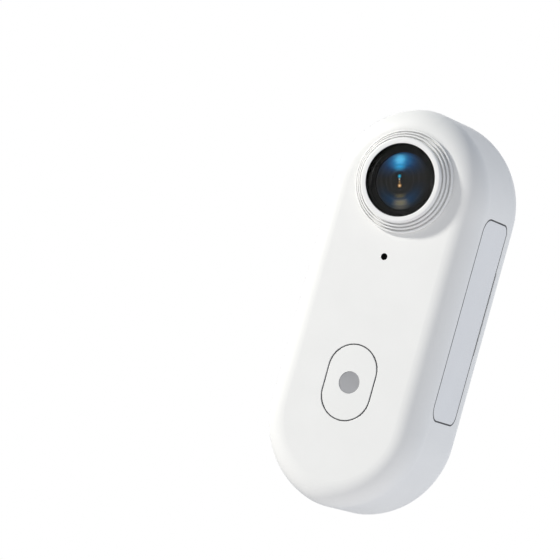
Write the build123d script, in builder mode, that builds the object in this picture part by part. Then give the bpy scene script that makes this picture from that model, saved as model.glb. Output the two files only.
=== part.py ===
from build123d import *
import math
import os

os.makedirs("parts", exist_ok=True)

# Sizes are in millimetres. +Z is up the long axis and the lens looks along -Y.
# The origin is the middle of the flat rear face. A depth is counted back from the
# front face, and a height is counted up from the lowest point of the body.

# Body outline: straight sides, and each end a wide shoulder arc into a tighter tip arc
body_width = 23.0
body_height = 55.5
body_depth = 17.5
shoulder_beyond_half = 0.9
tip_within_half = 2.65
front_round = 3.3
rear_round = 5.0

# Shell walls and the line where the rear cover parts from the shell
wall = 1.2
front_wall = 1.3
rear_wall = 1.4
rear_cover_depth = 2.4
lip_length = 1.2
lip_wall = 0.7
gasket_width = 0.6
gasket_thickness = 0.5

# Running gaps, seams and small fits
fit_gap = 0.05
seam_gap = 0.12
seam_round = 0.12
slide_gap = 0.1
screw_gap = 0.02

# Lens guard: a white ring with three fine grooves round its cone, and a flat cover glass
lens_from_top = 10.4
guard_radius = 7.09
guard_shoulder_radius = 6.98
guard_shoulder_height = 0.5
groove_radii = (6.72, 6.37, 5.91)
groove_heights = (0.84, 1.2, 1.35)
groove_width = 0.14
rim_radius = 5.03
rim_height = 1.74
glass_recess = 0.05
glass_thickness = 0.6
glass_border = 1.0
mask_thickness = 0.06
guard_shelf = 0.45
guard_shelf_thickness = 0.2

# Lens collar, barrel and lens stack
collar_radius = 5.95
collar_wall = 0.95
collar_proud = 0.75
collar_flange_radius = 7.0
collar_flange_thickness = 0.5
o_ring_radius = 0.2
o_ring_proud = 0.45
barrel_proud = 0.6
barrel_length = 8.6
first_element_radius = 4.2
first_element_apex = -0.94
first_element_thickness = 0.75
first_front_curve = 9.5
first_rear_curve = 3.6
first_rear_clear = 2.9
second_element_radius = 3.1
second_element_place = 1.84
second_element_thickness = 0.5
second_front_curve = 6.0
second_front_clear = 2.5
second_rear_curve = 2.4
second_rear_clear = 1.8
rear_element_radius = 2.8
rear_clear_radius = 2.0
third_element_place = 3.4
third_element_thickness = 1.9
third_front_curve = 4.0
third_rear_curve = -3.5
fourth_element_place = 5.8
fourth_element_thickness = 0.4
fourth_front_curve = -6.0
fourth_rear_curve = 4.0
rear_element_place = 6.5
rear_element_thickness = 1.6
rear_front_curve = 5.0
rear_rear_curve = -7.0
element_rim = 0.2
spacer_wall = 0.6
retainer_lip = 0.15
retainer_overlap = 0.25
filter_ledge = 0.4

# Sensor module
holder_wall = 1.0
holder_base = 11.0
holder_base_thickness = 2.2
holder_ear_gap = 0.1
holder_ear_share = 0.4375
holder_ear_thickness = 0.8
sensor_width = 7.5
sensor_height = 6.5
sensor_thickness = 1.0
filter_width = 6.4
filter_height = 5.4
filter_thickness = 0.3
sensor_board_thickness = 0.8
flex_thickness = 0.2
flex_width = 5.0
flex_bend = 0.6

# Microphone
mic_below_lens = 10.5
mic_hole_radius = 0.475
mic_mesh_radius = 1.2
mic_mesh_thickness = 0.15
mic_width = 3.5
mic_height = 2.65
mic_thickness = 1.0
mic_gasket_thickness = 0.55
mic_board_width = 5.4
mic_board_height = 4.4
mic_board_thickness = 0.4

# Shutter button
button_height = 16.97
button_width = 7.03
button_length = 10.4
button_flange = 0.7
button_flange_thickness = 0.5
button_travel = 0.4
window_radius = 1.5
window_thickness = 0.5
window_recess = 0.04
stem_radius = 1.0
stem_room = 0.4
switch_size = 3.6
switch_thickness = 1.0
switch_corner = 0.3
switch_plunger_radius = 0.8
switch_plunger_length = 0.85
led_size = 0.8
led_spacing = 5.0

# Side cover over the ports, on the +X side
cover_above_bend = 2.82
cover_below_bend = 0.02
cover_before_round = 0.69
cover_thickness = 1.2
cover_front_corner = 1.9
cover_rear_corner = 1.3
cover_ledge = 0.9
cover_hinge_ledge = 1.5
cover_inner_chamfer = 0.2
window_corner = 1.0
port_pad_thickness = 0.8
port_pad_margin = 0.8
seal_gap = 0.25
seal_width = 0.8
strap_length = 18.0
strap_width = 1.3
strap_thickness = 0.35
nail_slot_length = 11.7
nail_slot_width = 0.22
nail_slot_depth = 0.7
nail_slot_middle = 30.9

# Ports behind the side cover
bezel_thickness = 0.5
bezel_margin = 0.7
usb_share = 0.431
ports_below_sensor = 1.45
usb_thickness = 3.16
usb_reach = 7.3
usb_wall = 0.3
usb_above_card = 1.0
usb_tongue_gap = 0.82
usb_tongue_thickness = 0.7
usb_tongue_reach = 5.4
card_past_middle = 5.5
card_thickness = 0.8
card_travel = 0.8
card_notch = 0.7
card_socket_wall = 0.3
card_socket_above_cover = 1.3
mouth_recess = 0.1

# Inner frame, main board and what it carries
boss_height = 1.3
boss_radius = 1.4
frame_thickness = 1.0
frame_inset = 2.5
board_spacing = 2.0
board_thickness = 0.8
board_inset = 2.6
board_below_lens = 6.5
screw_radius = 0.5
screw_head_radius = 1.1
screw_head_thickness = 0.6
screw_drive_radius = 0.5
shell_screw_low = (3.0, 4.8)
shell_screw_from_side = 4.3
shell_screw_below_lens = 6.0
tray_screw_below_battery = 2.4
tray_screw_low_from_side = 5.9
tray_screw_high_from_side = 4.2
tray_screw_below_sensor = 3.2
chip_thickness = 1.0
chip_spacing = 0.8
processor_share = 0.548
shield_side_gap = 0.4
chip_edge_gap = 0.95
chip_side_gap = 0.45
shield_share = 0.64
shield_above_share = 0.285
shield_height = 1.3
shield_sheet = 0.15
power_chip_size = 2.0
power_chip_pitch = 3.2
power_chip_count = 4
power_chip_gap = 0.6
power_chips_below_card = 1.0
connector_length = 2.4
connector_height = 0.9
flex_x_share = 0.357
battery_lead_share = 0.625
contact_flex_share = 0.464
contact_flex_height = 8.0

# Battery and its tray
socket_room = 3.35
tray_thickness = 0.5
battery_side_gap = 0.12
battery_below_screw = 1.9
battery_rear_room = 1.2
battery_below_bend = 2.28
battery_corner = 1.0
battery_edge = 0.5

# Antenna on the inner left wall
antenna_thickness = 0.15
antenna_width = 6.0
antenna_below_screw = 3.4
antenna_bottom = 19.0
contact_width = 1.2
contact_thickness = 0.2
contact_rise = 1.2
contact_foot = 0.8
antenna_ahead = 1.0

# Rear face
magnet_radius = 4.5
magnet_thickness = 1.2
magnet_pocket = 0.7
magnet_above_contacts = 1.0
magnet_from_top = 15.0
contact_count = 4
contact_pitch = 2.5
contact_radius = 0.7
contact_recess = 0.1
contact_height = 9.2
contact_board_width = 9.8
contact_board_length = 3.0
contact_board_thickness = 0.6

# Places worked out from the sizes above
half_width = body_width / 2
half_height = body_height / 2
shoulder_radius = half_width + shoulder_beyond_half
tip_radius = half_width - tip_within_half
shoulder_x = half_width - shoulder_radius
shoulder_angle = math.degrees(math.acos((shoulder_radius - half_width) / (shoulder_radius - tip_radius)))
tip_rise = (shoulder_radius - tip_radius) * math.sin(math.radians(shoulder_angle))
straight_end = half_height - tip_radius - tip_rise
split_depth = body_depth - rear_cover_depth
lens_height = body_height - lens_from_top
mic_height_up = lens_height - mic_below_lens
collar_bore = collar_radius - collar_wall
barrel_radius = collar_bore - slide_gap
holder_radius = barrel_radius + holder_wall
holder_ear_reach = holder_radius + screw_head_radius + holder_ear_gap
sensor_edge = lens_height - holder_base / 2
tray_screw_high = sensor_edge - tray_screw_below_sensor
battery_bottom = half_height - straight_end - battery_below_bend
tray_screw_low = battery_bottom - tray_screw_below_battery
battery_length = tray_screw_high - battery_below_screw - battery_bottom
antenna_length = tray_screw_high - antenna_below_screw - antenna_bottom
holder_ear_radius = holder_ear_share * (half_width - wall - holder_ear_reach)
tray_screw_x = half_width - tray_screw_low_from_side
connector_width = tray_screw_x
battery_lead_width = battery_lead_share * connector_width
contact_flex_width = contact_flex_share * connector_width
flex_x = -flex_x_share * connector_width
contact_flex_x = tray_screw_x - boss_radius - slide_gap - contact_flex_width / 2
frame_front = front_wall + boss_height
frame_back = frame_front + frame_thickness
board_front = frame_back + board_spacing
board_back = board_front + board_thickness
board_top = lens_height - board_below_lens
switch_top = button_height + switch_size / 2
board_room = tray_screw_high - boss_radius - switch_top
shield_length = shield_share * board_room
shield_middle = switch_top + shield_above_share * board_room + shield_length / 2
chip_length = shield_length - 2 * chip_edge_gap
tray_front = board_back + socket_room
tray_back = tray_front + tray_thickness
rear_inside = body_depth - rear_wall
battery_thickness = rear_inside - battery_rear_room - tray_back
flange_back = front_wall + button_flange_thickness
cover_bottom = half_height - straight_end + cover_above_bend
cover_length = 2 * straight_end - cover_above_bend - cover_below_bend
cover_front = front_round + seam_gap + seam_round + screw_gap
cover_back = body_depth - rear_round - cover_before_round
cover_width = cover_back - cover_front
cover_middle = cover_bottom + cover_length / 2
ledge_x = half_width - cover_thickness
pad_x = half_width - wall - port_pad_thickness
bezel_x = pad_x - bezel_thickness
barrel_front = -barrel_proud
barrel_back = barrel_front + barrel_length
holder_back = barrel_back + fit_gap + holder_base_thickness
card_socket_bottom = cover_bottom + card_socket_above_cover
power_chip_height = card_socket_bottom - power_chips_below_card - power_chip_size / 2
battery_connector_height = power_chip_height - (connector_length + power_chip_size) / 2 - power_chip_gap
port_room = sensor_edge - ports_below_sensor - card_socket_bottom - usb_above_card
usb_length = usb_share * port_room
card_width = port_room - usb_length - 2 * (card_socket_wall + slide_gap)
usb_tongue_width = usb_length - 2 * (usb_wall + usb_tongue_gap)
card_socket_top = card_socket_bottom + card_width + 2 * card_socket_wall + 2 * slide_gap
card_middle = (card_socket_bottom + card_socket_top) / 2
usb_middle = card_socket_top + usb_above_card + usb_length / 2
usb_depth = board_back + usb_thickness / 2
card_depth = board_back + card_socket_wall + slide_gap + card_thickness / 2
mouth_x = pad_x - mouth_recess
card_length = pad_x + card_past_middle
shield_width = 2 * (bezel_x - shield_side_gap)
chips_width = shield_width - 2 * chip_side_gap
processor_width = processor_share * (chips_width - chip_spacing)
memory_width = chips_width - chip_spacing - processor_width


def row_z(height):
    """Z of a height above the lowest point of the body."""
    return height - half_height


def row_y(depth):
    """Y of a depth behind the front face."""
    return depth - body_depth


def behind_front(depth):
    """Plane parallel to the front face. Its normal looks forwards, so pieces extrude back by -amount."""
    return Plane.XZ.offset(body_depth - depth)


def across(x):
    """Plane square to X, with Y and Z as its own axes."""
    return Plane.YZ.offset(x)


def body_outline(inset, mode=Mode.ADD):
    """Draw the body's outline, drawn in by an inset, in the current sketch."""
    with BuildLine() as outline:
        CenterArc((shoulder_x, straight_end), shoulder_radius - inset, 0, shoulder_angle)
        CenterArc((0, straight_end + tip_rise), tip_radius - inset, shoulder_angle, 180 - 2 * shoulder_angle)
        CenterArc((-shoulder_x, straight_end), shoulder_radius - inset, 180 - shoulder_angle, shoulder_angle)
        mirror(about=Plane.XZ)
        Line((half_width - inset, -straight_end), (half_width - inset, straight_end))
        Line((inset - half_width, straight_end), (inset - half_width, -straight_end))
    make_face(outline.edges(), mode=mode)


def body_form(inset, front, back, front_radius, rear_radius):
    """Solid of the body's outline between two depths, with its front and rear edges rounded."""
    with BuildPart() as form:
        with BuildSketch(behind_front(front)):
            body_outline(inset)
        extrude(amount=front - back)
        fillet(form.edges().group_by(Axis.Y)[0], front_radius)
        fillet(form.edges().group_by(Axis.Y)[-1], rear_radius)
    return form.part


def rear_inset(depth, radius, back):
    """How far a rear rounding that ends at this back depth has drawn in at a depth."""
    reach = depth - (back - radius)
    return radius - math.sqrt(radius**2 - reach**2)


def cover_outline(grow):
    """Draw the side cover's outline, let out by a gap, in a sketch square to X."""
    length = cover_length + 2 * grow
    double_width = 2 * (cover_width + grow)
    with Locations((row_y(cover_back), row_z(cover_middle))):
        RectangleRounded(double_width, length, cover_front_corner + grow)
    with Locations((row_y(cover_front), row_z(cover_middle))):
        RectangleRounded(double_width, length, cover_rear_corner + grow, mode=Mode.INTERSECT)


def port_window(shrink, mode=Mode.ADD):
    """Draw the window through the cover's ledge, drawn in by a gap, in a sketch square to X."""
    window_front = cover_front + cover_hinge_ledge + shrink
    window_back = cover_back - cover_ledge - shrink
    window_length = cover_length - 2 * (cover_ledge + shrink)
    with Locations((row_y((window_front + window_back) / 2), row_z(cover_middle))):
        RectangleRounded(window_back - window_front, window_length, window_corner, mode=mode)


def tube_section(inner, outer, front, back):
    """Draw a ring's section, from one depth to another, in a sketch through the lens axis."""
    with Locations(((inner + outer) / 2, (front + back) / 2)):
        Rectangle(outer - inner, back - front)


def sag(curve, radius):
    """Depth that a spherical face of this curve falls back at a radius, forwards if the curve is negative."""
    fall = abs(curve) - math.sqrt(curve**2 - radius**2)
    return math.copysign(fall, curve)


# Section through the lens axis: its own x is the radius and its own y is the depth
lens_section = Plane(origin=(0, -body_depth, row_z(lens_height)), x_dir=(1, 0, 0), z_dir=(0, 0, 1))
lens_axis = Axis((0, 0, row_z(lens_height)), (0, 1, 0))
lens_spot = (0, row_z(lens_height))
mic_spot = (0, row_z(mic_height_up))
button_spot = (0, row_z(button_height))
shell_screw_x = half_width - shell_screw_from_side
shell_screw_spots = [
    (-shell_screw_low[0], row_z(shell_screw_low[1])),
    (shell_screw_low[0], row_z(shell_screw_low[1])),
    (-shell_screw_x, row_z(lens_height - shell_screw_below_lens)),
    (shell_screw_x, row_z(lens_height - shell_screw_below_lens)),
]
tray_screw_spots = [
    (-tray_screw_x, row_z(tray_screw_low)),
    (tray_screw_x, row_z(tray_screw_low)),
    (tray_screw_high_from_side - half_width, row_z(tray_screw_high)),
]
ear_spots = [(-holder_ear_reach, row_z(lens_height)), (holder_ear_reach, row_z(lens_height))]
magnet_low = contact_height + contact_board_length / 2 + magnet_above_contacts + magnet_radius
magnet_spots = [(0, row_z(magnet_low)), (0, row_z(body_height - magnet_from_top))]

# Outer and inner forms of the whole body
outer_form = body_form(0, 0, body_depth, front_round, rear_round)
inner_form = body_form(wall, front_wall, rear_inside, front_round - wall, rear_round - wall)

# Front shell: the front face and the sides in one, open at the rear
rim_outside = rear_inset(split_depth, rear_round, body_depth)
rim_inside = wall + rear_inset(split_depth, rear_round - wall, rear_inside)
gasket_outside = (rim_outside + rim_inside - gasket_width) / 2
with BuildPart() as front_shell:
    add(outer_form)
    add(inner_form, mode=Mode.SUBTRACT)
    split(bisect_by=behind_front(split_depth), keep=Keep.TOP)
    # Screw bosses on the inside of the front wall
    with BuildSketch(behind_front(front_wall)):
        with Locations(*shell_screw_spots):
            Circle(boss_radius)
    extrude(amount=-boss_height)
    with BuildSketch(behind_front(frame_front)):
        with Locations(*shell_screw_spots):
            Circle(screw_radius)
    extrude(amount=boss_height + front_wall / 2, mode=Mode.SUBTRACT)
    # Pad that carries the ledge round the ports
    with BuildSketch(across(pad_x)):
        with Locations((row_y((cover_front + cover_back) / 2), row_z(cover_middle))):
            Rectangle(cover_width + 2 * port_pad_margin, cover_length + 2 * port_pad_margin)
    extrude(amount=port_pad_thickness + wall / 2)
    # Recess, window and strap pocket of the side cover
    with BuildSketch(across(half_width)):
        cover_outline(seam_gap)
    extrude(amount=-cover_thickness, mode=Mode.SUBTRACT)
    recess_edges = front_shell.edges().filter_by_position(Axis.X, ledge_x + seam_round, half_width)
    recess_edges = recess_edges.filter_by_position(Axis.Y, row_y(cover_front), row_y(cover_back))
    fillet(recess_edges.group_by(Axis.X)[-1], seam_round)
    with BuildSketch(across(ledge_x)):
        port_window(0)
    extrude(amount=-port_pad_thickness, mode=Mode.SUBTRACT)
    with BuildSketch(across(ledge_x)):
        with Locations((row_y(cover_front + cover_hinge_ledge / 2), row_z(cover_middle))):
            Rectangle(strap_width + 2 * fit_gap, strap_length + 2 * fit_gap)
    extrude(amount=-strap_thickness, mode=Mode.SUBTRACT)
    # Slot for a finger nail behind the rear edge of the side cover
    with BuildSketch(across(half_width)):
        with Locations((row_y(cover_back + seam_gap), row_z(nail_slot_middle))):
            Rectangle(2 * nail_slot_width, nail_slot_length)
    extrude(amount=-nail_slot_depth, mode=Mode.SUBTRACT)
    # Holes in the front face for the lens, the microphone and the button
    with BuildSketch(behind_front(0)):
        with Locations(lens_spot):
            Circle(collar_radius + fit_gap)
        with Locations(mic_spot):
            Circle(mic_hole_radius)
        with Locations(button_spot):
            SlotOverall(button_length + 2 * slide_gap, button_width + 2 * slide_gap, rotation=90)
    extrude(amount=-front_wall, mode=Mode.SUBTRACT)
    button_edges = front_shell.edges().group_by(Axis.Y)[0].filter_by_position(
        Axis.Z, row_z(button_height - button_length), row_z(button_height + button_length)
    )
    fillet(button_edges.filter_by_position(Axis.X, -button_width, button_width), seam_round)
    # Groove for the gasket in the rear rim
    with BuildSketch(behind_front(split_depth)):
        body_outline(gasket_outside)
        body_outline(gasket_outside + gasket_width, mode=Mode.SUBTRACT)
    extrude(amount=gasket_thickness, mode=Mode.SUBTRACT)
front_shell.part.label = "front_shell"
export_step(front_shell.part, "parts/front_shell.step")

# Rear gasket: a flat ring in the shell's rear rim
with BuildPart() as rear_gasket:
    with BuildSketch(behind_front(split_depth)):
        body_outline(gasket_outside + fit_gap)
        body_outline(gasket_outside + gasket_width - fit_gap, mode=Mode.SUBTRACT)
    extrude(amount=gasket_thickness)
rear_gasket.part.label = "rear_gasket"
export_step(rear_gasket.part, "parts/rear_gasket.step")

# Rear cover: a shallow dish with a lip that enters the shell
lip_inset = rim_inside + fit_gap
contact_start = -contact_pitch * (contact_count - 1) / 2
contact_spots = [(contact_start + contact_pitch * n, row_z(contact_height)) for n in range(contact_count)]
with BuildPart() as rear_cover:
    add(outer_form)
    add(inner_form, mode=Mode.SUBTRACT)
    split(bisect_by=behind_front(split_depth), keep=Keep.BOTTOM)
    with BuildSketch(behind_front(split_depth - lip_length)):
        body_outline(lip_inset)
        body_outline(lip_inset + lip_wall, mode=Mode.SUBTRACT)
    extrude(amount=split_depth - lip_length - rear_inside)
    with BuildSketch(behind_front(rear_inside)):
        with Locations(*magnet_spots):
            Circle(magnet_radius + fit_gap)
    extrude(amount=-magnet_pocket, mode=Mode.SUBTRACT)
    with BuildSketch(behind_front(rear_inside)):
        with Locations(*contact_spots):
            Circle(contact_radius + screw_gap)
    extrude(amount=-rear_wall, mode=Mode.SUBTRACT)
rear_cover.part.label = "rear_cover"
export_step(rear_cover.part, "parts/rear_cover.step")

# Magnets in the rear cover
with BuildPart() as rear_magnets:
    with BuildSketch(behind_front(rear_inside + magnet_pocket)):
        with Locations(*magnet_spots):
            Circle(magnet_radius)
    extrude(amount=magnet_thickness)
rear_magnets.part.label = "rear_magnets"
export_step(rear_magnets.part, "parts/rear_magnets.step")

# Charging contacts through the rear cover, and the small board they stand on
with BuildPart() as charging_contacts:
    with BuildSketch(behind_front(rear_inside)):
        with Locations(*contact_spots):
            Circle(contact_radius)
    extrude(amount=contact_recess - rear_wall)
charging_contacts.part.label = "charging_contacts"
export_step(charging_contacts.part, "parts/charging_contacts.step")

contact_board_front = rear_inside - contact_board_thickness
with BuildPart() as contact_board:
    with BuildSketch(behind_front(rear_inside)):
        with Locations((0, row_z(contact_height))):
            RectangleRounded(contact_board_width, contact_board_length, contact_board_thickness)
    extrude(amount=contact_board_thickness)
contact_board.part.label = "contact_board"
export_step(contact_board.part, "parts/contact_board.step")

# Lens guard ring: a low cone with a pocket for the glass and a bore that slips over the collar
glass_front = glass_recess - rim_height
glass_back = glass_front + glass_thickness
mask_back = glass_back + mask_thickness
shelf_back = mask_back + guard_shelf_thickness
groove_spots = list(zip(groove_radii, [-height for height in groove_heights]))
guard_bore = collar_radius + slide_gap
with BuildPart() as lens_guard_ring:
    with BuildSketch(lens_section):
        with BuildLine():
            guard_points = [
                (guard_bore, 0),
                (guard_radius, 0),
                (guard_shoulder_radius, -guard_shoulder_height),
                *groove_spots,
                (rim_radius, -rim_height),
                (rim_radius, mask_back),
                (rim_radius - guard_shelf, mask_back),
                (rim_radius - guard_shelf, shelf_back),
                (guard_bore, shelf_back),
            ]
            Polyline(*guard_points, close=True)
        make_face()
        with Locations(*groove_spots):
            Rectangle(groove_width, groove_width, rotation=45, mode=Mode.SUBTRACT)
    revolve(axis=lens_axis)
lens_guard_ring.part.label = "lens_guard_ring"
export_step(lens_guard_ring.part, "parts/lens_guard_ring.step")

# Cover glass of the lens guard and the black mask ring behind its border
glass_radius = rim_radius - screw_gap
with BuildPart() as guard_glass:
    with BuildSketch(lens_section):
        tube_section(0, glass_radius, glass_front, glass_back)
    revolve(axis=lens_axis)
guard_glass.part.label = "guard_glass"
export_step(guard_glass.part, "parts/guard_glass.step")

with BuildPart() as glass_mask:
    with BuildSketch(lens_section):
        tube_section(rim_radius - glass_border, glass_radius, glass_back, mask_back)
    revolve(axis=lens_axis)
glass_mask.part.label = "glass_mask"
export_step(glass_mask.part, "parts/glass_mask.step")

# Lens collar: the seat that the guard slips over, with a flange inside the front wall
flange_end = front_wall + collar_flange_thickness
o_ring_seat = collar_radius + fit_gap - 2 * o_ring_radius
with BuildPart() as lens_collar:
    with BuildSketch(lens_section):
        tube_section(collar_bore, collar_radius, -collar_proud, flange_end)
        tube_section(collar_bore, collar_flange_radius, front_wall, flange_end)
        with Locations((o_ring_seat + o_ring_radius, -o_ring_proud)):
            Rectangle(2 * o_ring_radius, 2 * o_ring_radius, mode=Mode.SUBTRACT)
    revolve(axis=lens_axis)
lens_collar.part.label = "lens_collar"
export_step(lens_collar.part, "parts/lens_collar.step")

# Seal ring round the collar, and the flat gasket behind its flange
with BuildPart() as collar_seal:
    with BuildSketch(lens_section):
        with Locations((o_ring_seat + o_ring_radius, -o_ring_proud)):
            Circle(o_ring_radius)
    revolve(axis=lens_axis)
collar_seal.part.label = "collar_seal"
export_step(collar_seal.part, "parts/collar_seal.step")

with BuildPart() as collar_gasket:
    with BuildSketch(lens_section):
        tube_section(collar_bore + slide_gap, collar_flange_radius, flange_end, frame_front)
    revolve(axis=lens_axis)
collar_gasket.part.label = "collar_gasket"
export_step(collar_gasket.part, "parts/collar_gasket.step")

# Lens elements, from the front to the sensor


class Element:
    """One glass element: two spherical faces, each with a flat rim, and an edge face between them."""

    def __init__(self, rim, front_clear, front_apex, front_curve, rear_clear, rear_apex, rear_curve):
        self.rim = rim
        self.front_edge = front_apex + sag(front_curve, front_clear)
        self.rear_edge = rear_apex + sag(rear_curve, rear_clear)
        self.front = [(0, front_apex), (front_clear / 2, front_apex + sag(front_curve, front_clear / 2))]
        self.front.append((front_clear, self.front_edge))
        self.rear = [(rear_clear, self.rear_edge), (rear_clear / 2, rear_apex + sag(rear_curve, rear_clear / 2))]
        self.rear.append((0, rear_apex))

    def solid(self):
        """Turn the element's half section about the lens axis."""
        with BuildPart() as element:
            with BuildSketch(lens_section):
                with BuildLine():
                    ThreePointArc(*self.front)
                    Polyline(self.front[-1], (self.rim, self.front_edge), (self.rim, self.rear_edge), self.rear[0])
                    ThreePointArc(*self.rear)
                    Line(self.rear[-1], self.front[0])
                make_face()
            revolve(axis=lens_axis)
        return element.part


elements = {
    "lens_front_element": Element(
        rim=first_element_radius,
        front_clear=first_element_radius - element_rim,
        front_apex=first_element_apex,
        front_curve=first_front_curve,
        rear_clear=first_rear_clear,
        rear_apex=first_element_apex + first_element_thickness,
        rear_curve=first_rear_curve,
    ),
    "lens_second_element": Element(
        rim=second_element_radius,
        front_clear=second_front_clear,
        front_apex=first_element_apex + second_element_place,
        front_curve=second_front_curve,
        rear_clear=second_rear_clear,
        rear_apex=first_element_apex + second_element_place + second_element_thickness,
        rear_curve=second_rear_curve,
    ),
    "lens_third_element": Element(
        rim=rear_element_radius,
        front_clear=rear_clear_radius,
        front_apex=first_element_apex + third_element_place,
        front_curve=third_front_curve,
        rear_clear=rear_clear_radius,
        rear_apex=first_element_apex + third_element_place + third_element_thickness,
        rear_curve=third_rear_curve,
    ),
    "lens_fourth_element": Element(
        rim=rear_element_radius,
        front_clear=rear_clear_radius,
        front_apex=first_element_apex + fourth_element_place,
        front_curve=fourth_front_curve,
        rear_clear=rear_clear_radius,
        rear_apex=first_element_apex + fourth_element_place + fourth_element_thickness,
        rear_curve=fourth_rear_curve,
    ),
    "lens_rear_element": Element(
        rim=rear_element_radius,
        front_clear=rear_clear_radius,
        front_apex=first_element_apex + rear_element_place,
        front_curve=rear_front_curve,
        rear_clear=rear_clear_radius,
        rear_apex=first_element_apex + rear_element_place + rear_element_thickness,
        rear_curve=rear_rear_curve,
    ),
}
for node, element in elements.items():
    glass = element.solid()
    glass.label = node
    export_step(glass, f"parts/{node}.step")
first, second, third, fourth, last = elements.values()

# Spacer rings between the elements
with BuildPart() as lens_spacers:
    with BuildSketch(lens_section):
        tube_section(second.rim - spacer_wall / 2, second.rim, first.rear_edge, second.front_edge)
        tube_section(third.rim - spacer_wall, third.rim, second.rear_edge, third.front_edge)
        tube_section(third.rim - spacer_wall, third.rim, third.rear_edge, fourth.front_edge)
        tube_section(third.rim - spacer_wall, third.rim, fourth.rear_edge, last.front_edge)
    revolve(axis=lens_axis)
lens_spacers.part.label = "lens_spacers"
export_step(lens_spacers.part, "parts/lens_spacers.step")

# Lens barrel, stepped inside to seat the elements
with BuildPart() as lens_barrel:
    with BuildSketch(lens_section):
        tube_section(first.rim + screw_gap, barrel_radius, barrel_front, first.rear_edge)
        tube_section(second.rim + screw_gap, barrel_radius, first.rear_edge, second.rear_edge)
        tube_section(third.rim + screw_gap, barrel_radius, second.rear_edge, last.rear_edge)
        tube_section(third.rim - spacer_wall, barrel_radius, last.rear_edge, barrel_back)
    revolve(axis=lens_axis)
lens_barrel.part.label = "lens_barrel"
export_step(lens_barrel.part, "parts/lens_barrel.step")

# Retainer: a black ring that holds the front element in the barrel
with BuildPart() as lens_retainer:
    with BuildSketch(lens_section):
        retainer_bore = first.rim - retainer_overlap
        tube_section(retainer_bore, first.rim, barrel_front, first.front_edge - fit_gap)
        tube_section(retainer_bore, barrel_radius - fit_gap, barrel_front - retainer_lip, barrel_front)
    revolve(axis=lens_axis)
lens_retainer.part.label = "lens_retainer"
export_step(lens_retainer.part, "parts/lens_retainer.step")

# Lens holder: a tube round the barrel, two screw ears and a square base over the sensor
base_front = barrel_back + fit_gap
filter_front = base_front + filter_ledge
filter_back = filter_front + filter_thickness
with BuildPart() as lens_holder:
    with BuildSketch(behind_front(frame_back)):
        with Locations(lens_spot):
            Circle(holder_radius)
    extrude(amount=frame_back - base_front)
    with BuildSketch(behind_front(frame_back)):
        with Locations(lens_spot):
            SlotOverall(2 * (holder_ear_reach + holder_ear_radius), 2 * holder_ear_radius)
    extrude(amount=-holder_ear_thickness)
    with BuildSketch(behind_front(base_front)):
        with Locations(lens_spot):
            RectangleRounded(holder_base, holder_base, holder_wall)
    extrude(amount=-holder_base_thickness)
    with BuildSketch(behind_front(frame_back)):
        with Locations(lens_spot):
            Circle(barrel_radius + fit_gap)
        with Locations(*ear_spots):
            Circle(screw_radius + slide_gap)
    extrude(amount=frame_back - base_front, mode=Mode.SUBTRACT)
    with BuildSketch(behind_front(base_front)):
        with Locations(lens_spot):
            Rectangle(filter_width - 2 * filter_ledge, filter_height - 2 * filter_ledge)
    extrude(amount=-filter_ledge, mode=Mode.SUBTRACT)
    with BuildSketch(behind_front(filter_front)):
        with Locations(lens_spot):
            Rectangle(filter_width + 2 * fit_gap, filter_height + 2 * fit_gap)
    extrude(amount=-filter_thickness, mode=Mode.SUBTRACT)
    with BuildSketch(behind_front(filter_back)):
        with Locations(lens_spot):
            Rectangle(sensor_width + 2 * slide_gap, sensor_height + 2 * slide_gap)
    extrude(amount=filter_back - holder_back, mode=Mode.SUBTRACT)
lens_holder.part.label = "lens_holder"
export_step(lens_holder.part, "parts/lens_holder.step")

# Infrared filter, image sensor and the board it stands on
with BuildPart() as ir_filter:
    with BuildSketch(behind_front(filter_front)):
        with Locations(lens_spot):
            Rectangle(filter_width, filter_height)
    extrude(amount=-filter_thickness)
ir_filter.part.label = "ir_filter"
export_step(ir_filter.part, "parts/ir_filter.step")

with BuildPart() as image_sensor:
    with BuildSketch(behind_front(holder_back)):
        with Locations(lens_spot):
            Rectangle(sensor_width, sensor_height)
    extrude(amount=sensor_thickness)
image_sensor.part.label = "image_sensor"
export_step(image_sensor.part, "parts/image_sensor.step")

with BuildPart() as sensor_board:
    with BuildSketch(behind_front(holder_back)):
        with Locations(lens_spot):
            RectangleRounded(holder_base, holder_base, holder_wall)
    extrude(amount=-sensor_board_thickness)
sensor_board.part.label = "sensor_board"
export_step(sensor_board.part, "parts/sensor_board.step")

# Microphone behind its hole: mesh, gasket, capsule and board
mesh_back = front_wall + mic_mesh_thickness
mic_front = mesh_back + mic_gasket_thickness
mic_back = mic_front + mic_thickness
with BuildPart() as mic_mesh:
    with BuildSketch(behind_front(front_wall)):
        with Locations(mic_spot):
            Circle(mic_mesh_radius)
    extrude(amount=-mic_mesh_thickness)
mic_mesh.part.label = "mic_mesh"
export_step(mic_mesh.part, "parts/mic_mesh.step")

with BuildPart() as mic_gasket:
    with BuildSketch(behind_front(mesh_back)):
        with Locations(mic_spot):
            Circle(mic_mesh_radius)
            Circle(mic_hole_radius, mode=Mode.SUBTRACT)
    extrude(amount=-mic_gasket_thickness)
mic_gasket.part.label = "mic_gasket"
export_step(mic_gasket.part, "parts/mic_gasket.step")

with BuildPart() as microphone:
    with BuildSketch(behind_front(mic_front)):
        with Locations(mic_spot):
            Rectangle(mic_width, mic_height)
    extrude(amount=-mic_thickness)
    with BuildSketch(behind_front(mic_front)):
        with Locations(mic_spot):
            Circle(mic_hole_radius)
    extrude(amount=-mic_thickness / 2, mode=Mode.SUBTRACT)
microphone.part.label = "microphone"
export_step(microphone.part, "parts/microphone.step")

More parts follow.
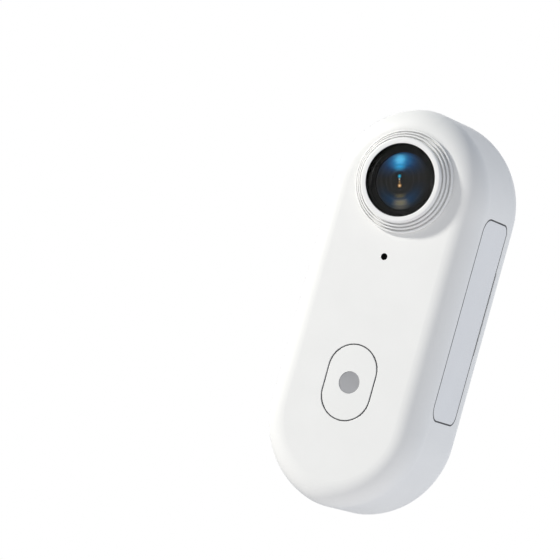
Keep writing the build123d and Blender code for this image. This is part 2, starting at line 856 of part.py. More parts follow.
with BuildPart() as mic_board:
    with BuildSketch(behind_front(mic_back)):
        with Locations(mic_spot):
            Rectangle(mic_board_width, mic_board_height)
    extrude(amount=-mic_board_thickness)
mic_board.part.label = "mic_board"
export_step(mic_board.part, "parts/mic_board.step")

# Shutter button: a cap with a flange behind the front wall
with BuildPart() as shutter_button:
    with BuildSketch(behind_front(0)):
        with Locations(button_spot):
            SlotOverall(button_length, button_width, rotation=90)
    extrude(amount=-flange_back)
    fillet(shutter_button.edges().group_by(Axis.Y)[0], seam_round)
    with BuildSketch(behind_front(front_wall)):
        with Locations(button_spot):
            SlotOverall(button_length + 2 * button_flange, button_width + 2 * button_flange, rotation=90)
    extrude(amount=-button_flange_thickness)
    with BuildSketch(behind_front(0)):
        with Locations(button_spot):
            Circle(window_radius + screw_gap)
    extrude(amount=-window_thickness, mode=Mode.SUBTRACT)
    with BuildSketch(behind_front(window_thickness)):
        with Locations(button_spot):
            Circle(stem_radius + screw_gap)
    extrude(amount=window_thickness - flange_back, mode=Mode.SUBTRACT)
shutter_button.part.label = "shutter_button"
export_step(shutter_button.part, "parts/shutter_button.step")

# Round status window in the button, and the clear stem that lights it and presses the switch
with BuildPart() as status_window:
    with BuildSketch(behind_front(window_recess)):
        with Locations(button_spot):
            Circle(window_radius)
    extrude(amount=window_recess - window_thickness)
status_window.part.label = "status_window"
export_step(status_window.part, "parts/status_window.step")

switch_front = board_front - switch_thickness
switch_plunger_proud = button_travel + fit_gap
plunger_front = switch_front - switch_plunger_proud
with BuildPart() as button_stem:
    with BuildSketch(behind_front(window_thickness)):
        with Locations(button_spot):
            Circle(stem_radius)
    extrude(amount=window_thickness - plunger_front)
button_stem.part.label = "button_stem"
export_step(button_stem.part, "parts/button_stem.step")

# Gasket that the pressed button's flange comes to rest on
gasket_front = flange_back + button_travel + fit_gap
with BuildPart() as button_gasket:
    with BuildSketch(behind_front(gasket_front)):
        with Locations(button_spot):
            SlotOverall(button_length + 2 * button_flange, button_width + 2 * button_flange, rotation=90)
            Circle(stem_radius + stem_room, mode=Mode.SUBTRACT)
    extrude(amount=gasket_front - frame_front)
button_gasket.part.label = "button_gasket"
export_step(button_gasket.part, "parts/button_gasket.step")

# Tact switch on the main board, with its own plunger
with BuildPart() as tact_switch:
    with BuildSketch(behind_front(switch_front)):
        with Locations(button_spot):
            RectangleRounded(switch_size, switch_size, switch_corner)
    extrude(amount=-switch_thickness)
    with BuildSketch(behind_front(switch_front)):
        with Locations(button_spot):
            Circle(switch_plunger_radius + screw_gap)
    plunger_room = switch_plunger_length - switch_plunger_proud + button_travel + fit_gap
    extrude(amount=-plunger_room, mode=Mode.SUBTRACT)
tact_switch.part.label = "tact_switch"
export_step(tact_switch.part, "parts/tact_switch.step")

with BuildPart() as switch_plunger:
    with BuildSketch(behind_front(plunger_front)):
        with Locations(button_spot):
            Circle(switch_plunger_radius)
    extrude(amount=-switch_plunger_length)
switch_plunger.part.label = "switch_plunger"
export_step(switch_plunger.part, "parts/switch_plunger.step")

# Two status lamps beside the switch
with BuildPart() as status_lamps:
    with BuildSketch(behind_front(board_front)):
        with Locations(button_spot):
            with GridLocations(led_spacing, 0, 2, 1):
                Rectangle(led_size, led_size)
    extrude(amount=led_size)
status_lamps.part.label = "status_lamps"
export_step(status_lamps.part, "parts/status_lamps.step")

# Side cover: a flush plate in the shell's side
with BuildPart() as side_cover:
    with BuildSketch(across(half_width)):
        cover_outline(0)
    extrude(amount=-cover_thickness)
    fillet(side_cover.edges().group_by(Axis.X)[-1], seam_round)
    chamfer(side_cover.edges().group_by(Axis.X)[0], cover_inner_chamfer)
side_cover.part.label = "side_cover"
export_step(side_cover.part, "parts/side_cover.step")

# Rubber rim on the cover's inner face, and the rubber strap that hinges it
with BuildPart() as cover_seal:
    with BuildSketch(across(ledge_x)):
        port_window(seal_gap)
        port_window(seal_gap + seal_width, mode=Mode.SUBTRACT)
    extrude(amount=fit_gap - port_pad_thickness)
cover_seal.part.label = "cover_seal"
export_step(cover_seal.part, "parts/cover_seal.step")

with BuildPart() as cover_strap:
    with BuildSketch(across(ledge_x)):
        with Locations((row_y(cover_front + cover_hinge_ledge / 2), row_z(cover_middle))):
            RectangleRounded(strap_width, strap_length, strap_thickness)
    extrude(amount=-strap_thickness)
cover_strap.part.label = "cover_strap"
export_step(cover_strap.part, "parts/cover_strap.step")

# Dark bezel behind the window, with openings for the plug and the card
with BuildPart() as port_bezel:
    with BuildSketch(across(pad_x)):
        port_window(-bezel_margin)
        with Locations((row_y(usb_depth), row_z(usb_middle))):
            SlotOverall(
                usb_length + 2 * slide_gap, usb_thickness + 2 * slide_gap, rotation=90, mode=Mode.SUBTRACT
            )
        with Locations((row_y(card_depth), row_z(card_middle))):
            Rectangle(card_thickness + 2 * slide_gap, card_width + 2 * slide_gap, mode=Mode.SUBTRACT)
    extrude(amount=-bezel_thickness)
port_bezel.part.label = "port_bezel"
export_step(port_bezel.part, "parts/port_bezel.step")

# USB socket and the tongue inside it
usb_spot = (row_y(usb_depth), row_z(usb_middle))
with BuildPart() as usb_socket:
    with BuildSketch(across(mouth_x)):
        with Locations(usb_spot):
            SlotOverall(usb_length, usb_thickness, rotation=90)
    extrude(amount=-usb_reach)
    with BuildSketch(across(mouth_x)):
        with Locations(usb_spot):
            SlotOverall(usb_length - 2 * usb_wall, usb_thickness - 2 * usb_wall, rotation=90)
    extrude(amount=usb_wall - usb_reach, mode=Mode.SUBTRACT)
usb_socket.part.label = "usb_socket"
export_step(usb_socket.part, "parts/usb_socket.step")

with BuildPart() as usb_tongue:
    with BuildSketch(across(mouth_x - usb_reach + usb_wall)):
        with Locations(usb_spot):
            Rectangle(usb_tongue_thickness, usb_tongue_width)
    extrude(amount=usb_tongue_reach)
usb_tongue.part.label = "usb_tongue"
export_step(usb_tongue.part, "parts/usb_tongue.step")

# Memory card and its socket
card_outer_x = mouth_x - fit_gap
card_inner_x = card_outer_x - card_length
cavity_end_x = card_inner_x - card_travel - slide_gap
socket_front_x = bezel_x - slide_gap
card_spot = (row_y(card_depth), row_z(card_middle))
with BuildPart() as card_socket:
    with BuildSketch(across(socket_front_x)):
        with Locations(card_spot):
            Rectangle(
                card_thickness + 2 * (slide_gap + card_socket_wall), card_width + 2 * (slide_gap + card_socket_wall)
            )
    extrude(amount=cavity_end_x - card_socket_wall - socket_front_x)
    with BuildSketch(across(socket_front_x)):
        with Locations(card_spot):
            Rectangle(card_thickness + 2 * slide_gap, card_width + 2 * slide_gap)
    extrude(amount=cavity_end_x - socket_front_x, mode=Mode.SUBTRACT)
card_socket.part.label = "card_socket"
export_step(card_socket.part, "parts/card_socket.step")

with BuildPart() as memory_card:
    with BuildSketch(across(card_outer_x)):
        with Locations(card_spot):
            Rectangle(card_thickness, card_width)
    extrude(amount=-card_length)
    # Notch in the card's upper edge
    with BuildSketch(across(card_outer_x - card_length / 2)):
        with Locations((row_y(card_depth), row_z(card_middle + card_width / 2))):
            Rectangle(card_thickness, 2 * card_notch)
    extrude(amount=-card_length / 2, mode=Mode.SUBTRACT)
memory_card.part.label = "memory_card"
export_step(memory_card.part, "parts/memory_card.step")

# Inner frame: the plate that carries the lens holder, the microphone and the main board
with BuildPart() as inner_frame:
    with BuildSketch(behind_front(frame_front)):
        body_outline(frame_inset)
        with Locations(lens_spot):
            Circle(barrel_radius + slide_gap, mode=Mode.SUBTRACT)
        with Locations(button_spot):
            Circle(stem_radius + stem_room, mode=Mode.SUBTRACT)
        with Locations(*shell_screw_spots):
            Circle(screw_radius + slide_gap, mode=Mode.SUBTRACT)
        with Locations(*ear_spots):
            Circle(screw_radius, mode=Mode.SUBTRACT)
    extrude(amount=-frame_thickness)
    with BuildSketch(behind_front(frame_back)):
        with Locations(*tray_screw_spots):
            Circle(boss_radius)
    extrude(amount=-board_spacing)
    with BuildSketch(behind_front(board_front)):
        with Locations(*tray_screw_spots):
            Circle(screw_radius)
    extrude(amount=board_spacing + frame_thickness / 2, mode=Mode.SUBTRACT)
    with BuildSketch(behind_front(frame_front)):
        with Locations(mic_spot):
            Rectangle(mic_board_width + 2 * slide_gap, mic_board_height + 2 * slide_gap)
    extrude(amount=frame_front - mic_back - mic_board_thickness, mode=Mode.SUBTRACT)
inner_frame.part.label = "inner_frame"
export_step(inner_frame.part, "parts/inner_frame.step")

# Six short screws: four hold the frame to the shell, two hold the lens holder to the frame
with BuildPart() as frame_screws:
    with BuildSketch(behind_front(frame_back)):
        with Locations(*shell_screw_spots):
            Circle(screw_radius - screw_gap)
    extrude(amount=frame_thickness + boss_height)
    with BuildSketch(behind_front(frame_front)):
        with Locations(*ear_spots):
            Circle(screw_radius - screw_gap)
    extrude(amount=-frame_thickness - holder_ear_thickness)
    with BuildSketch(behind_front(frame_back)):
        with Locations(*shell_screw_spots):
            Circle(screw_head_radius)
            RegularPolygon(screw_drive_radius, 6, mode=Mode.SUBTRACT)
    extrude(amount=-screw_head_thickness)
    with BuildSketch(behind_front(frame_back + holder_ear_thickness)):
        with Locations(*ear_spots):
            Circle(screw_head_radius)
            RegularPolygon(screw_drive_radius, 6, mode=Mode.SUBTRACT)
    extrude(amount=-screw_head_thickness)
frame_screws.part.label = "frame_screws"
export_step(frame_screws.part, "parts/frame_screws.step")

# Main board, with a straight top edge below the lens holder
with BuildPart() as main_board:
    with BuildSketch(behind_front(board_front)):
        body_outline(board_inset)
        with Locations((0, row_z(board_top) - half_height)):
            Rectangle(body_width, body_height, mode=Mode.INTERSECT)
        with Locations(*tray_screw_spots):
            Circle(screw_radius + slide_gap, mode=Mode.SUBTRACT)
    extrude(amount=-board_thickness)
main_board.part.label = "main_board"
export_step(main_board.part, "parts/main_board.step")

# Chips under the shield can on the board's front
processor_x = (processor_width - chips_width) / 2
memory_x = (chips_width - memory_width) / 2
with BuildPart() as image_processor:
    with BuildSketch(behind_front(board_front)):
        with Locations((processor_x, row_z(shield_middle))):
            Rectangle(processor_width, chip_length)
    extrude(amount=chip_thickness)
image_processor.part.label = "image_processor"
export_step(image_processor.part, "parts/image_processor.step")

with BuildPart() as memory_chip:
    with BuildSketch(behind_front(board_front)):
        with Locations((memory_x, row_z(shield_middle))):
            Rectangle(memory_width, chip_length)
    extrude(amount=chip_thickness)
memory_chip.part.label = "memory_chip"
export_step(memory_chip.part, "parts/memory_chip.step")

with BuildPart() as shield_can:
    with BuildSketch(behind_front(board_front)):
        with Locations((0, row_z(shield_middle))):
            RectangleRounded(shield_width, shield_length, chip_spacing)
    extrude(amount=shield_height)
    with BuildSketch(behind_front(board_front)):
        with Locations((0, row_z(shield_middle))):
            Rectangle(shield_width - chip_spacing, shield_length - chip_spacing)
    extrude(amount=shield_height - shield_sheet, mode=Mode.SUBTRACT)
shield_can.part.label = "shield_can"
export_step(shield_can.part, "parts/shield_can.step")

# Soft pad that takes the chips' heat from the shield to the frame
shield_front = board_front - shield_height
with BuildPart() as thermal_pad:
    with BuildSketch(behind_front(shield_front)):
        with Locations((0, row_z(shield_middle))):
            Rectangle(shield_width - 2 * chip_spacing, shield_length - 2 * chip_spacing)
    extrude(amount=shield_front - frame_back)
thermal_pad.part.label = "thermal_pad"
export_step(thermal_pad.part, "parts/thermal_pad.step")

# Power chips and the two ribbon connectors on the board's rear
with BuildPart() as power_chips:
    with BuildSketch(behind_front(board_back)):
        with Locations((0, row_z(power_chip_height))):
            with GridLocations(power_chip_pitch, 0, power_chip_count, 1):
                Rectangle(power_chip_size, power_chip_size)
    extrude(amount=-chip_thickness)
power_chips.part.label = "power_chips"
export_step(power_chips.part, "parts/power_chips.step")

sensor_connector_height = board_top - connector_length
with BuildPart() as ribbon_connectors:
    with BuildSketch(behind_front(board_back)):
        with Locations((flex_x, row_z(sensor_connector_height)), (flex_x, row_z(battery_connector_height))):
            Rectangle(connector_width, connector_length)
    extrude(amount=-connector_height)
ribbon_connectors.part.label = "ribbon_connectors"
export_step(ribbon_connectors.part, "parts/ribbon_connectors.step")


def ribbon(x, width, points):
    """Flat ribbon cable of this width, centred at x, whose middle line runs through depths and heights."""
    route = [(row_y(depth), row_z(height)) for depth, height in points]
    with BuildPart() as strip:
        with BuildSketch(across(x - width / 2)):
            with BuildLine() as line:
                FilletPolyline(*route, radius=flex_bend)
            trace(line.edges(), flex_thickness)
        extrude(amount=width)
    return strip.part


# Ribbon cables: sensor board to main board, battery to main board, contact board to main board
connector_face = board_back + connector_height + flex_thickness / 2
sensor_ribbon_depth = holder_back + sensor_board_thickness / 2
sensor_ribbon_height = sensor_edge - flex_bend - flex_thickness
sensor_flex = ribbon(
    flex_x,
    flex_width,
    [
        (sensor_ribbon_depth, sensor_edge),
        (sensor_ribbon_depth, sensor_ribbon_height),
        (connector_face, sensor_ribbon_height),
        (connector_face, sensor_connector_height),
    ],
)
sensor_flex.label = "sensor_flex"
export_step(sensor_flex, "parts/sensor_flex.step")

cell_middle = tray_back + battery_thickness / 2
battery_lead = ribbon(
    flex_x,
    battery_lead_width,
    [
        (cell_middle, battery_bottom),
        (cell_middle, battery_bottom - flex_bend - flex_thickness),
        (connector_face, battery_bottom - flex_bend - flex_thickness),
        (connector_face, battery_connector_height),
    ],
)
battery_lead.label = "battery_lead"
export_step(battery_lead, "parts/battery_lead.step")

contact_face = contact_board_front - flex_thickness / 2
board_face = board_back + flex_thickness / 2
contact_flex = ribbon(
    contact_flex_x,
    contact_flex_width,
    [
        (contact_face, contact_height + contact_board_length / 2 - flex_thickness),
        (contact_face, contact_flex_height),
        (board_face, contact_flex_height),
        (board_face, battery_connector_height),
    ],
)
contact_flex.label = "contact_flex"
export_step(contact_flex, "parts/contact_flex.step")

# Battery tray: a plate on three posts, screwed through the board into the frame
battery_width = body_width - 2 * (lip_inset + lip_wall + battery_side_gap)
battery_middle = battery_bottom + battery_length / 2
tray_margin = (board_thickness - tray_thickness) / 2
with BuildPart() as battery_tray:
    with BuildSketch(behind_front(tray_front)):
        with Locations((0, row_z(battery_middle))):
            Rectangle(battery_width + 2 * tray_margin, battery_length + 2 * tray_margin)
        for spot_x, spot_z in tray_screw_spots:
            toward = math.copysign(battery_length / 2, row_z(battery_middle) - spot_z)
            with Locations((spot_x, spot_z)):
                Circle(boss_radius)
            with Locations((spot_x, spot_z + toward / 2)):
                Rectangle(2 * boss_radius, abs(toward))
    extrude(amount=-tray_thickness)
    with BuildSketch(behind_front(board_back)):
        with Locations(*tray_screw_spots):
            Circle(boss_radius)
    extrude(amount=-socket_room)
    with BuildSketch(behind_front(board_back)):
        with Locations(*tray_screw_spots):
            Circle(screw_radius + slide_gap)
    extrude(amount=board_back - tray_back, mode=Mode.SUBTRACT)
battery_tray.part.label = "battery_tray"
export_step(battery_tray.part, "parts/battery_tray.step")

with BuildPart() as tray_screws:
    with BuildSketch(behind_front(frame_back)):
        with Locations(*tray_screw_spots):
            Circle(screw_radius - screw_gap)
    extrude(amount=frame_back - tray_back)
    with BuildSketch(behind_front(tray_back)):
        with Locations(*tray_screw_spots):
            Circle(screw_head_radius)
            RegularPolygon(screw_drive_radius, 6, mode=Mode.SUBTRACT)
    extrude(amount=-screw_head_thickness)
tray_screws.part.label = "tray_screws"
export_step(tray_screws.part, "parts/tray_screws.step")

# Battery cell on the tray
with BuildPart() as battery_cell:
    with BuildSketch(behind_front(tray_back)):
        with Locations((0, row_z(battery_middle))):
            RectangleRounded(battery_width, battery_length, battery_corner)
    extrude(amount=-battery_thickness)
    fillet(battery_cell.edges().group_by(Axis.Y)[-1], battery_edge)
    fillet(battery_cell.edges().group_by(Axis.Y)[0], battery_edge)
battery_cell.part.label = "battery_cell"
export_step(battery_cell.part, "parts/battery_cell.step")

# Antenna on the inner left wall, and its two spring contacts on the board
antenna_x = wall - half_width
antenna_depth = board_front + antenna_width / 2 - antenna_ahead
with BuildPart() as wifi_antenna:
    with BuildSketch(across(antenna_x)):
        with Locations((row_y(antenna_depth), row_z(antenna_bottom + antenna_length / 2))):
            Rectangle(antenna_width, antenna_length)
    extrude(amount=antenna_thickness)
wifi_antenna.part.label = "wifi_antenna"
export_step(wifi_antenna.part, "parts/wifi_antenna.step")

antenna_face = antenna_x + antenna_thickness
blade_end = board_inset - half_width + contact_foot
with BuildPart() as antenna_contacts:
    with BuildSketch(Plane.XY.offset(row_z(antenna_bottom + contact_width))):
        with BuildLine():
            Polyline(
                (blade_end, row_y(board_back)),
                (antenna_face, row_y(board_back)),
                (antenna_face, row_y(board_back + contact_rise)),
                (antenna_face + contact_thickness, row_y(board_back + contact_rise)),
                (antenna_face + contact_thickness, row_y(board_back + contact_thickness)),
                (blade_end, row_y(board_back + contact_thickness)),
                close=True,
            )
        make_face()
    extrude(amount=contact_width)
    contact_spread = antenna_length - 3 * contact_width
    add(antenna_contacts.part.moved(Location((0, 0, contact_spread))))
antenna_contacts.part.label = "antenna_contacts"
export_step(antenna_contacts.part, "parts/antenna_contacts.step")
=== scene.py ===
"""Looks of a mini action camera: white capsule body, lens guard, shutter button, side cover."""

import logging
import math
from dataclasses import dataclass, field
from enum import Enum

import bmesh
import bpy
from mathutils import Matrix, Vector

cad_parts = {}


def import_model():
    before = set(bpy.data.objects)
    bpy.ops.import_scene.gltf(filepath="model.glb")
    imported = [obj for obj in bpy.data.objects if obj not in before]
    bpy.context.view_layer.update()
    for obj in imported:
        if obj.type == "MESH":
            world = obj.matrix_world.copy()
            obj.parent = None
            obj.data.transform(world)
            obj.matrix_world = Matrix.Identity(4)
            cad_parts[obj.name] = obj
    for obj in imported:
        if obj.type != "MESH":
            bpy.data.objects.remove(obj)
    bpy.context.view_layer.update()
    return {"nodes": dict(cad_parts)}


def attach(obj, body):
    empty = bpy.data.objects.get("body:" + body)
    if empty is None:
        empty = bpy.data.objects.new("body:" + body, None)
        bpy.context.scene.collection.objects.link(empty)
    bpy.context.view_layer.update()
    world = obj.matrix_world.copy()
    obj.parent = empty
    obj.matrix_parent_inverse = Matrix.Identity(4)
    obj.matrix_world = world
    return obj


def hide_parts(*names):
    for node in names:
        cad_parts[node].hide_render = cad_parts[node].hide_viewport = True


LOG = logging.getLogger("camera_looks")
MM = 0.001
LENS_AXIS_Z = 17.35 * MM

Colour = tuple[float, float, float]
Place = tuple[float, float, float]
Point = tuple[float, float]
Span = tuple[float, float]
Socket = bpy.types.NodeSocket

# The parts of a noise's range that a finish spreads over its own values.
WIDE: Span = (0.3, 0.7)
NARROW: Span = (0.35, 0.65)


class Body(Enum):
    """The bodies that the added pieces ride on."""

    HOUSING = "housing"
    LENS_GUARD = "lens_guard"


class NodeSheet:
    """A node tree, with short ways to add and join nodes."""

    def __init__(self, tree: bpy.types.NodeTree, output: str) -> None:
        """Empty a node tree and give it its output.

        Args:
            tree: the node tree.
            output: the output node's Blender type.
        """
        self.tree = tree
        self.tree.nodes.clear()
        self.output = self.add(output)

    def add(self, kind: str, **settings: object) -> bpy.types.Node:
        """Add a node.

        Args:
            kind: the node's Blender type.
            settings: attributes to set on the node.

        Returns:
            The new node.
        """
        node = self.tree.nodes.new(kind)
        for key, value in settings.items():
            setattr(node, key, value)
        return node

    def join(self, start: Socket, end: Socket) -> None:
        """Link one node's output to another's input."""
        self.tree.links.new(start, end)

    def calculate(self, operation: str, first: object, second: object = 0.0) -> Socket:
        """Work out a value from one or two others.

        Args:
            operation: the Math node's operation.
            first: a socket or a number.
            second: a socket or a number.

        Returns:
            The result.
        """
        node = self.add("ShaderNodeMath", operation=operation)
        for socket, value in zip(node.inputs, (first, second)):
            if isinstance(value, bpy.types.NodeSocket):
                self.join(value, socket)
            else:
                socket.default_value = value
        return node.outputs[0]


class MaterialSheet(NodeSheet):
    """A material's node tree, with the textures and the shader that finishes use."""

    def __init__(self, name: str) -> None:
        """Start a material.

        Args:
            name: the material's name.
        """
        self.material = bpy.data.materials.new(name)
        self.material.use_nodes = True
        super().__init__(self.material.node_tree, "ShaderNodeOutputMaterial")

    def coordinates(self) -> Socket:
        """Return the object's own coordinates, in metres."""
        return self.add("ShaderNodeTexCoord").outputs["Object"]

    def stretched(self, stretch: Place) -> Socket:
        """Return the object's own coordinates, each multiplied by its stretch."""
        mapping = self.add("ShaderNodeMapping")
        mapping.inputs["Scale"].default_value = stretch
        self.join(self.coordinates(), mapping.inputs["Vector"])
        return mapping.outputs["Vector"]

    def noise(self, size: float, detail: float = 3.0, stretch: Place = (1.0, 1.0, 1.0)) -> Socket:
        """Add a noise whose grains have a real size.

        Args:
            size: the size of a grain, in metres.
            detail: how many finer layers the noise has.
            stretch: how much finer the noise is along each axis.

        Returns:
            The noise's factor.
        """
        noise = self.add("ShaderNodeTexNoise")
        noise.inputs["Scale"].default_value = 1.0 / size
        noise.inputs["Detail"].default_value = detail
        self.join(self.stretched(stretch), noise.inputs["Vector"])
        return noise.outputs["Fac"]

    def ramp(self, value: Socket, stops: list[tuple[float, Colour]]) -> Socket:
        """Colour a value by stops.

        Args:
            value: the value, from 0 to 1.
            stops: places and their colours.

        Returns:
            The colour.
        """
        ramp = self.add("ShaderNodeValToRGB")
        for element, (spot, colour) in zip(ramp.color_ramp.elements, stops):
            element.position = spot
            element.color = (*colour, 1.0)
        self.join(value, ramp.inputs["Fac"])
        return ramp.outputs["Color"]

    def span(self, value: Socket, source: Span, target: Span) -> Socket:
        """Map a value from one range to another, and hold it there.

        Args:
            value: the value to map.
            source: the range that it comes from.
            target: the range that it goes to.

        Returns:
            The mapped value.
        """
        node = self.add("ShaderNodeMapRange")
        sockets = ("From Min", "From Max", "To Min", "To Max")
        for socket, end in zip(sockets, (*source, *target)):
            node.inputs[socket].default_value = end
        self.join(value, node.inputs["Value"])
        return node.outputs["Result"]

    def length(self, first: Socket, second: Socket) -> Socket:
        """Return the length of a line from its two sides at right angles."""
        squares = [self.calculate("MULTIPLY", side, side) for side in (first, second)]
        return self.calculate("SQRT", self.calculate("ADD", *squares))

    def near(self, value: Socket, middle: float, reach: float) -> Socket:
        """Return 1 where a value is at its middle, falling softly to 0 at its reach."""
        node = self.add("ShaderNodeMapRange", interpolation_type="SMOOTHSTEP")
        node.inputs["From Max"].default_value = reach
        node.inputs["To Min"].default_value = 1.0
        node.inputs["To Max"].default_value = 0.0
        away = self.calculate("ABSOLUTE", self.calculate("SUBTRACT", value, middle))
        self.join(away, node.inputs["Value"])
        return node.outputs["Result"]

    def paint(self, under: object, colour: Colour, cover: Socket) -> Socket:
        """Lay a colour over another.

        Args:
            under: the colour below, a socket or three numbers.
            colour: the colour laid on it.
            cover: how far it covers, from 0 to 1.

        Returns:
            The colour.
        """
        node = self.add("ShaderNodeMix", data_type="RGBA", clamp_factor=True)
        if isinstance(under, bpy.types.NodeSocket):
            self.join(under, node.inputs[6])
        else:
            node.inputs[6].default_value = (*under, 1.0)
        node.inputs[7].default_value = (*colour, 1.0)
        self.join(cover, node.inputs[0])
        return node.outputs[2]

    def bump(self, height: Socket, depth: float) -> Socket:
        """Turn a height into a normal.

        Args:
            height: the height, from 0 to 1.
            depth: the height's real depth, in metres.

        Returns:
            The normal.
        """
        node = self.add("ShaderNodeBump")
        node.inputs["Distance"].default_value = depth
        node.inputs["Strength"].default_value = 1.0
        self.join(height, node.inputs["Height"])
        return node.outputs["Normal"]

    def surface(self, **values: object) -> bpy.types.Node:
        """Add the surface shader and join it to the output.

        Args:
            values: its sockets' values, with underscores for the spaces in their names.

        Returns:
            The shader node.
        """
        shader = self.add("ShaderNodeBsdfPrincipled")
        for key, value in values.items():
            shader.inputs[key.replace("_", " ")].default_value = value
        self.join(shader.outputs["BSDF"], self.output.inputs["Surface"])
        return shader

    def cover(self, shader: bpy.types.Node, **sockets: Socket) -> bpy.types.Material:
        """Join what varies over the surface to the shader.

        Args:
            shader: the surface shader.
            sockets: what is joined, with underscores for the spaces in the inputs' names.

        Returns:
            The finished material.
        """
        for key, socket in sockets.items():
            self.join(socket, shader.inputs[key.replace("_", " ")])
        return self.material


@dataclass(frozen=True)
class Finish:
    """What every finish has: a name and a colour."""

    name: str
    colour: Colour

    def tone(self, factor: float) -> Colour:
        """Return the colour, made darker or lighter by a factor."""
        return tuple(min(1.0, part * factor) for part in self.colour)

    def stops(self, spots: Span, tones: Span) -> list[tuple[float, Colour]]:
        """Return a ramp's stops, from one tone of the colour to another."""
        return [(spot, self.tone(factor)) for spot, factor in zip(spots, tones)]

    def material(self) -> bpy.types.Material:
        """Build the finish's material."""
        raise NotImplementedError


@dataclass(frozen=True)
class MouldedPlastic(Finish):
    """Moulded plastic with a fine spark-eroded grain and a faint unevenness of colour."""

    roughness: float = 0.42
    roughness_swing: float = 0.03
    gloss_patch: float = 1.4 * MM
    grain: float = 0.09 * MM
    grain_depth: float = 0.0025 * MM
    mottle: float = 0.012
    mottle_size: float = 6 * MM
    shine: float = 0.3
    ior: float = 1.49

    def material(self) -> bpy.types.Material:
        """Build the plastic."""
        sheet = MaterialSheet(self.name)
        shader = sheet.surface(IOR=self.ior, Specular_IOR_Level=self.shine)
        stops = self.stops(WIDE, (1.0 - self.mottle, 1.0 + self.mottle))
        limits = (self.roughness - self.roughness_swing, self.roughness + self.roughness_swing)
        return sheet.cover(
            shader,
            Base_Color=sheet.ramp(sheet.noise(self.mottle_size, detail=4.0), stops),
            Roughness=sheet.span(sheet.noise(self.gloss_patch), WIDE, limits),
            Normal=sheet.bump(sheet.noise(self.grain, detail=2.0), self.grain_depth),
        )


@dataclass(frozen=True)
class PolishedPlastic(Finish):
    """Smooth glossy plastic or print, with faint fine scratches."""

    roughness: float = 0.12
    roughness_swing: Span = (0.8, 1.25)
    scratch_width: float = 0.05 * MM
    scratch_run: Place = (1.0, 1.0, 0.08)
    scratch_depth: float = 0.0006 * MM
    cloud_size: float = 2 * MM
    cloud_tones: Span = (0.94, 1.06)
    shine: float = 0.5
    ior: float = 1.45

    def material(self) -> bpy.types.Material:
        """Build the polished plastic."""
        sheet = MaterialSheet(self.name)
        shader = sheet.surface(IOR=self.ior, Specular_IOR_Level=self.shine)
        scratches = sheet.noise(self.scratch_width, detail=2.0, stretch=self.scratch_run)
        limits = tuple(self.roughness * share for share in self.roughness_swing)
        return sheet.cover(
            shader,
            Base_Color=sheet.ramp(sheet.noise(self.cloud_size), self.stops(NARROW, self.cloud_tones)),
            Roughness=sheet.span(scratches, NARROW, limits),
            Normal=sheet.bump(scratches, self.scratch_depth),
        )


@dataclass(frozen=True)
class SoftRubber(Finish):
    """Matt rubber with a dusty bloom in its grain."""

    roughness: Span = (0.62, 0.8)
    gloss_patch: float = 0.8 * MM
    bloom_size: float = 0.4 * MM
    bloom_spots: Span = (0.35, 0.75)
    bloom_tones: Span = (1.0, 1.5)
    grain: float = 0.06 * MM
    grain_depth: float = 0.004 * MM
    sheen: float = 0.15
    sheen_roughness: float = 0.5
    ior: float = 1.5

    def material(self) -> bpy.types.Material:
        """Build the rubber."""
        sheet = MaterialSheet(self.name)
        shader = sheet.surface(
            IOR=self.ior, Sheen_Weight=self.sheen, Sheen_Roughness=self.sheen_roughness
        )
        stops = self.stops(self.bloom_spots, self.bloom_tones)
        return sheet.cover(
            shader,
            Base_Color=sheet.ramp(sheet.noise(self.bloom_size, detail=5.0), stops),
            Roughness=sheet.span(sheet.noise(self.gloss_patch), WIDE, self.roughness),
            Normal=sheet.bump(sheet.noise(self.grain), self.grain_depth),
        )


@dataclass(frozen=True)
class SheetMetal(Finish):
    """Rolled, plated or anodised metal whose fine lines run one way."""

    roughness: float = 0.3
    roughness_swing: Span = (0.75, 1.3)
    metallic: float = 1.0
    line_width: float = 0.04 * MM
    line_run: Place = (1.0, 1.0, 0.04)
    line_depth: float = 0.0012 * MM
    cloud_size: float = 1.2 * MM
    cloud_tones: Span = (0.9, 1.06)

    def material(self) -> bpy.types.Material:
        """Build the metal."""
        sheet = MaterialSheet(self.name)
        shader = sheet.surface(Metallic=self.metallic)
        lines = sheet.noise(self.line_width, detail=2.0, stretch=self.line_run)
        stops = self.stops(WIDE, self.cloud_tones)
        limits = tuple(self.roughness * share for share in self.roughness_swing)
        return sheet.cover(
            shader,
            Base_Color=sheet.ramp(sheet.noise(self.cloud_size, detail=4.0), stops),
            Roughness=sheet.span(lines, WIDE, limits),
            Normal=sheet.bump(lines, self.line_depth),
        )


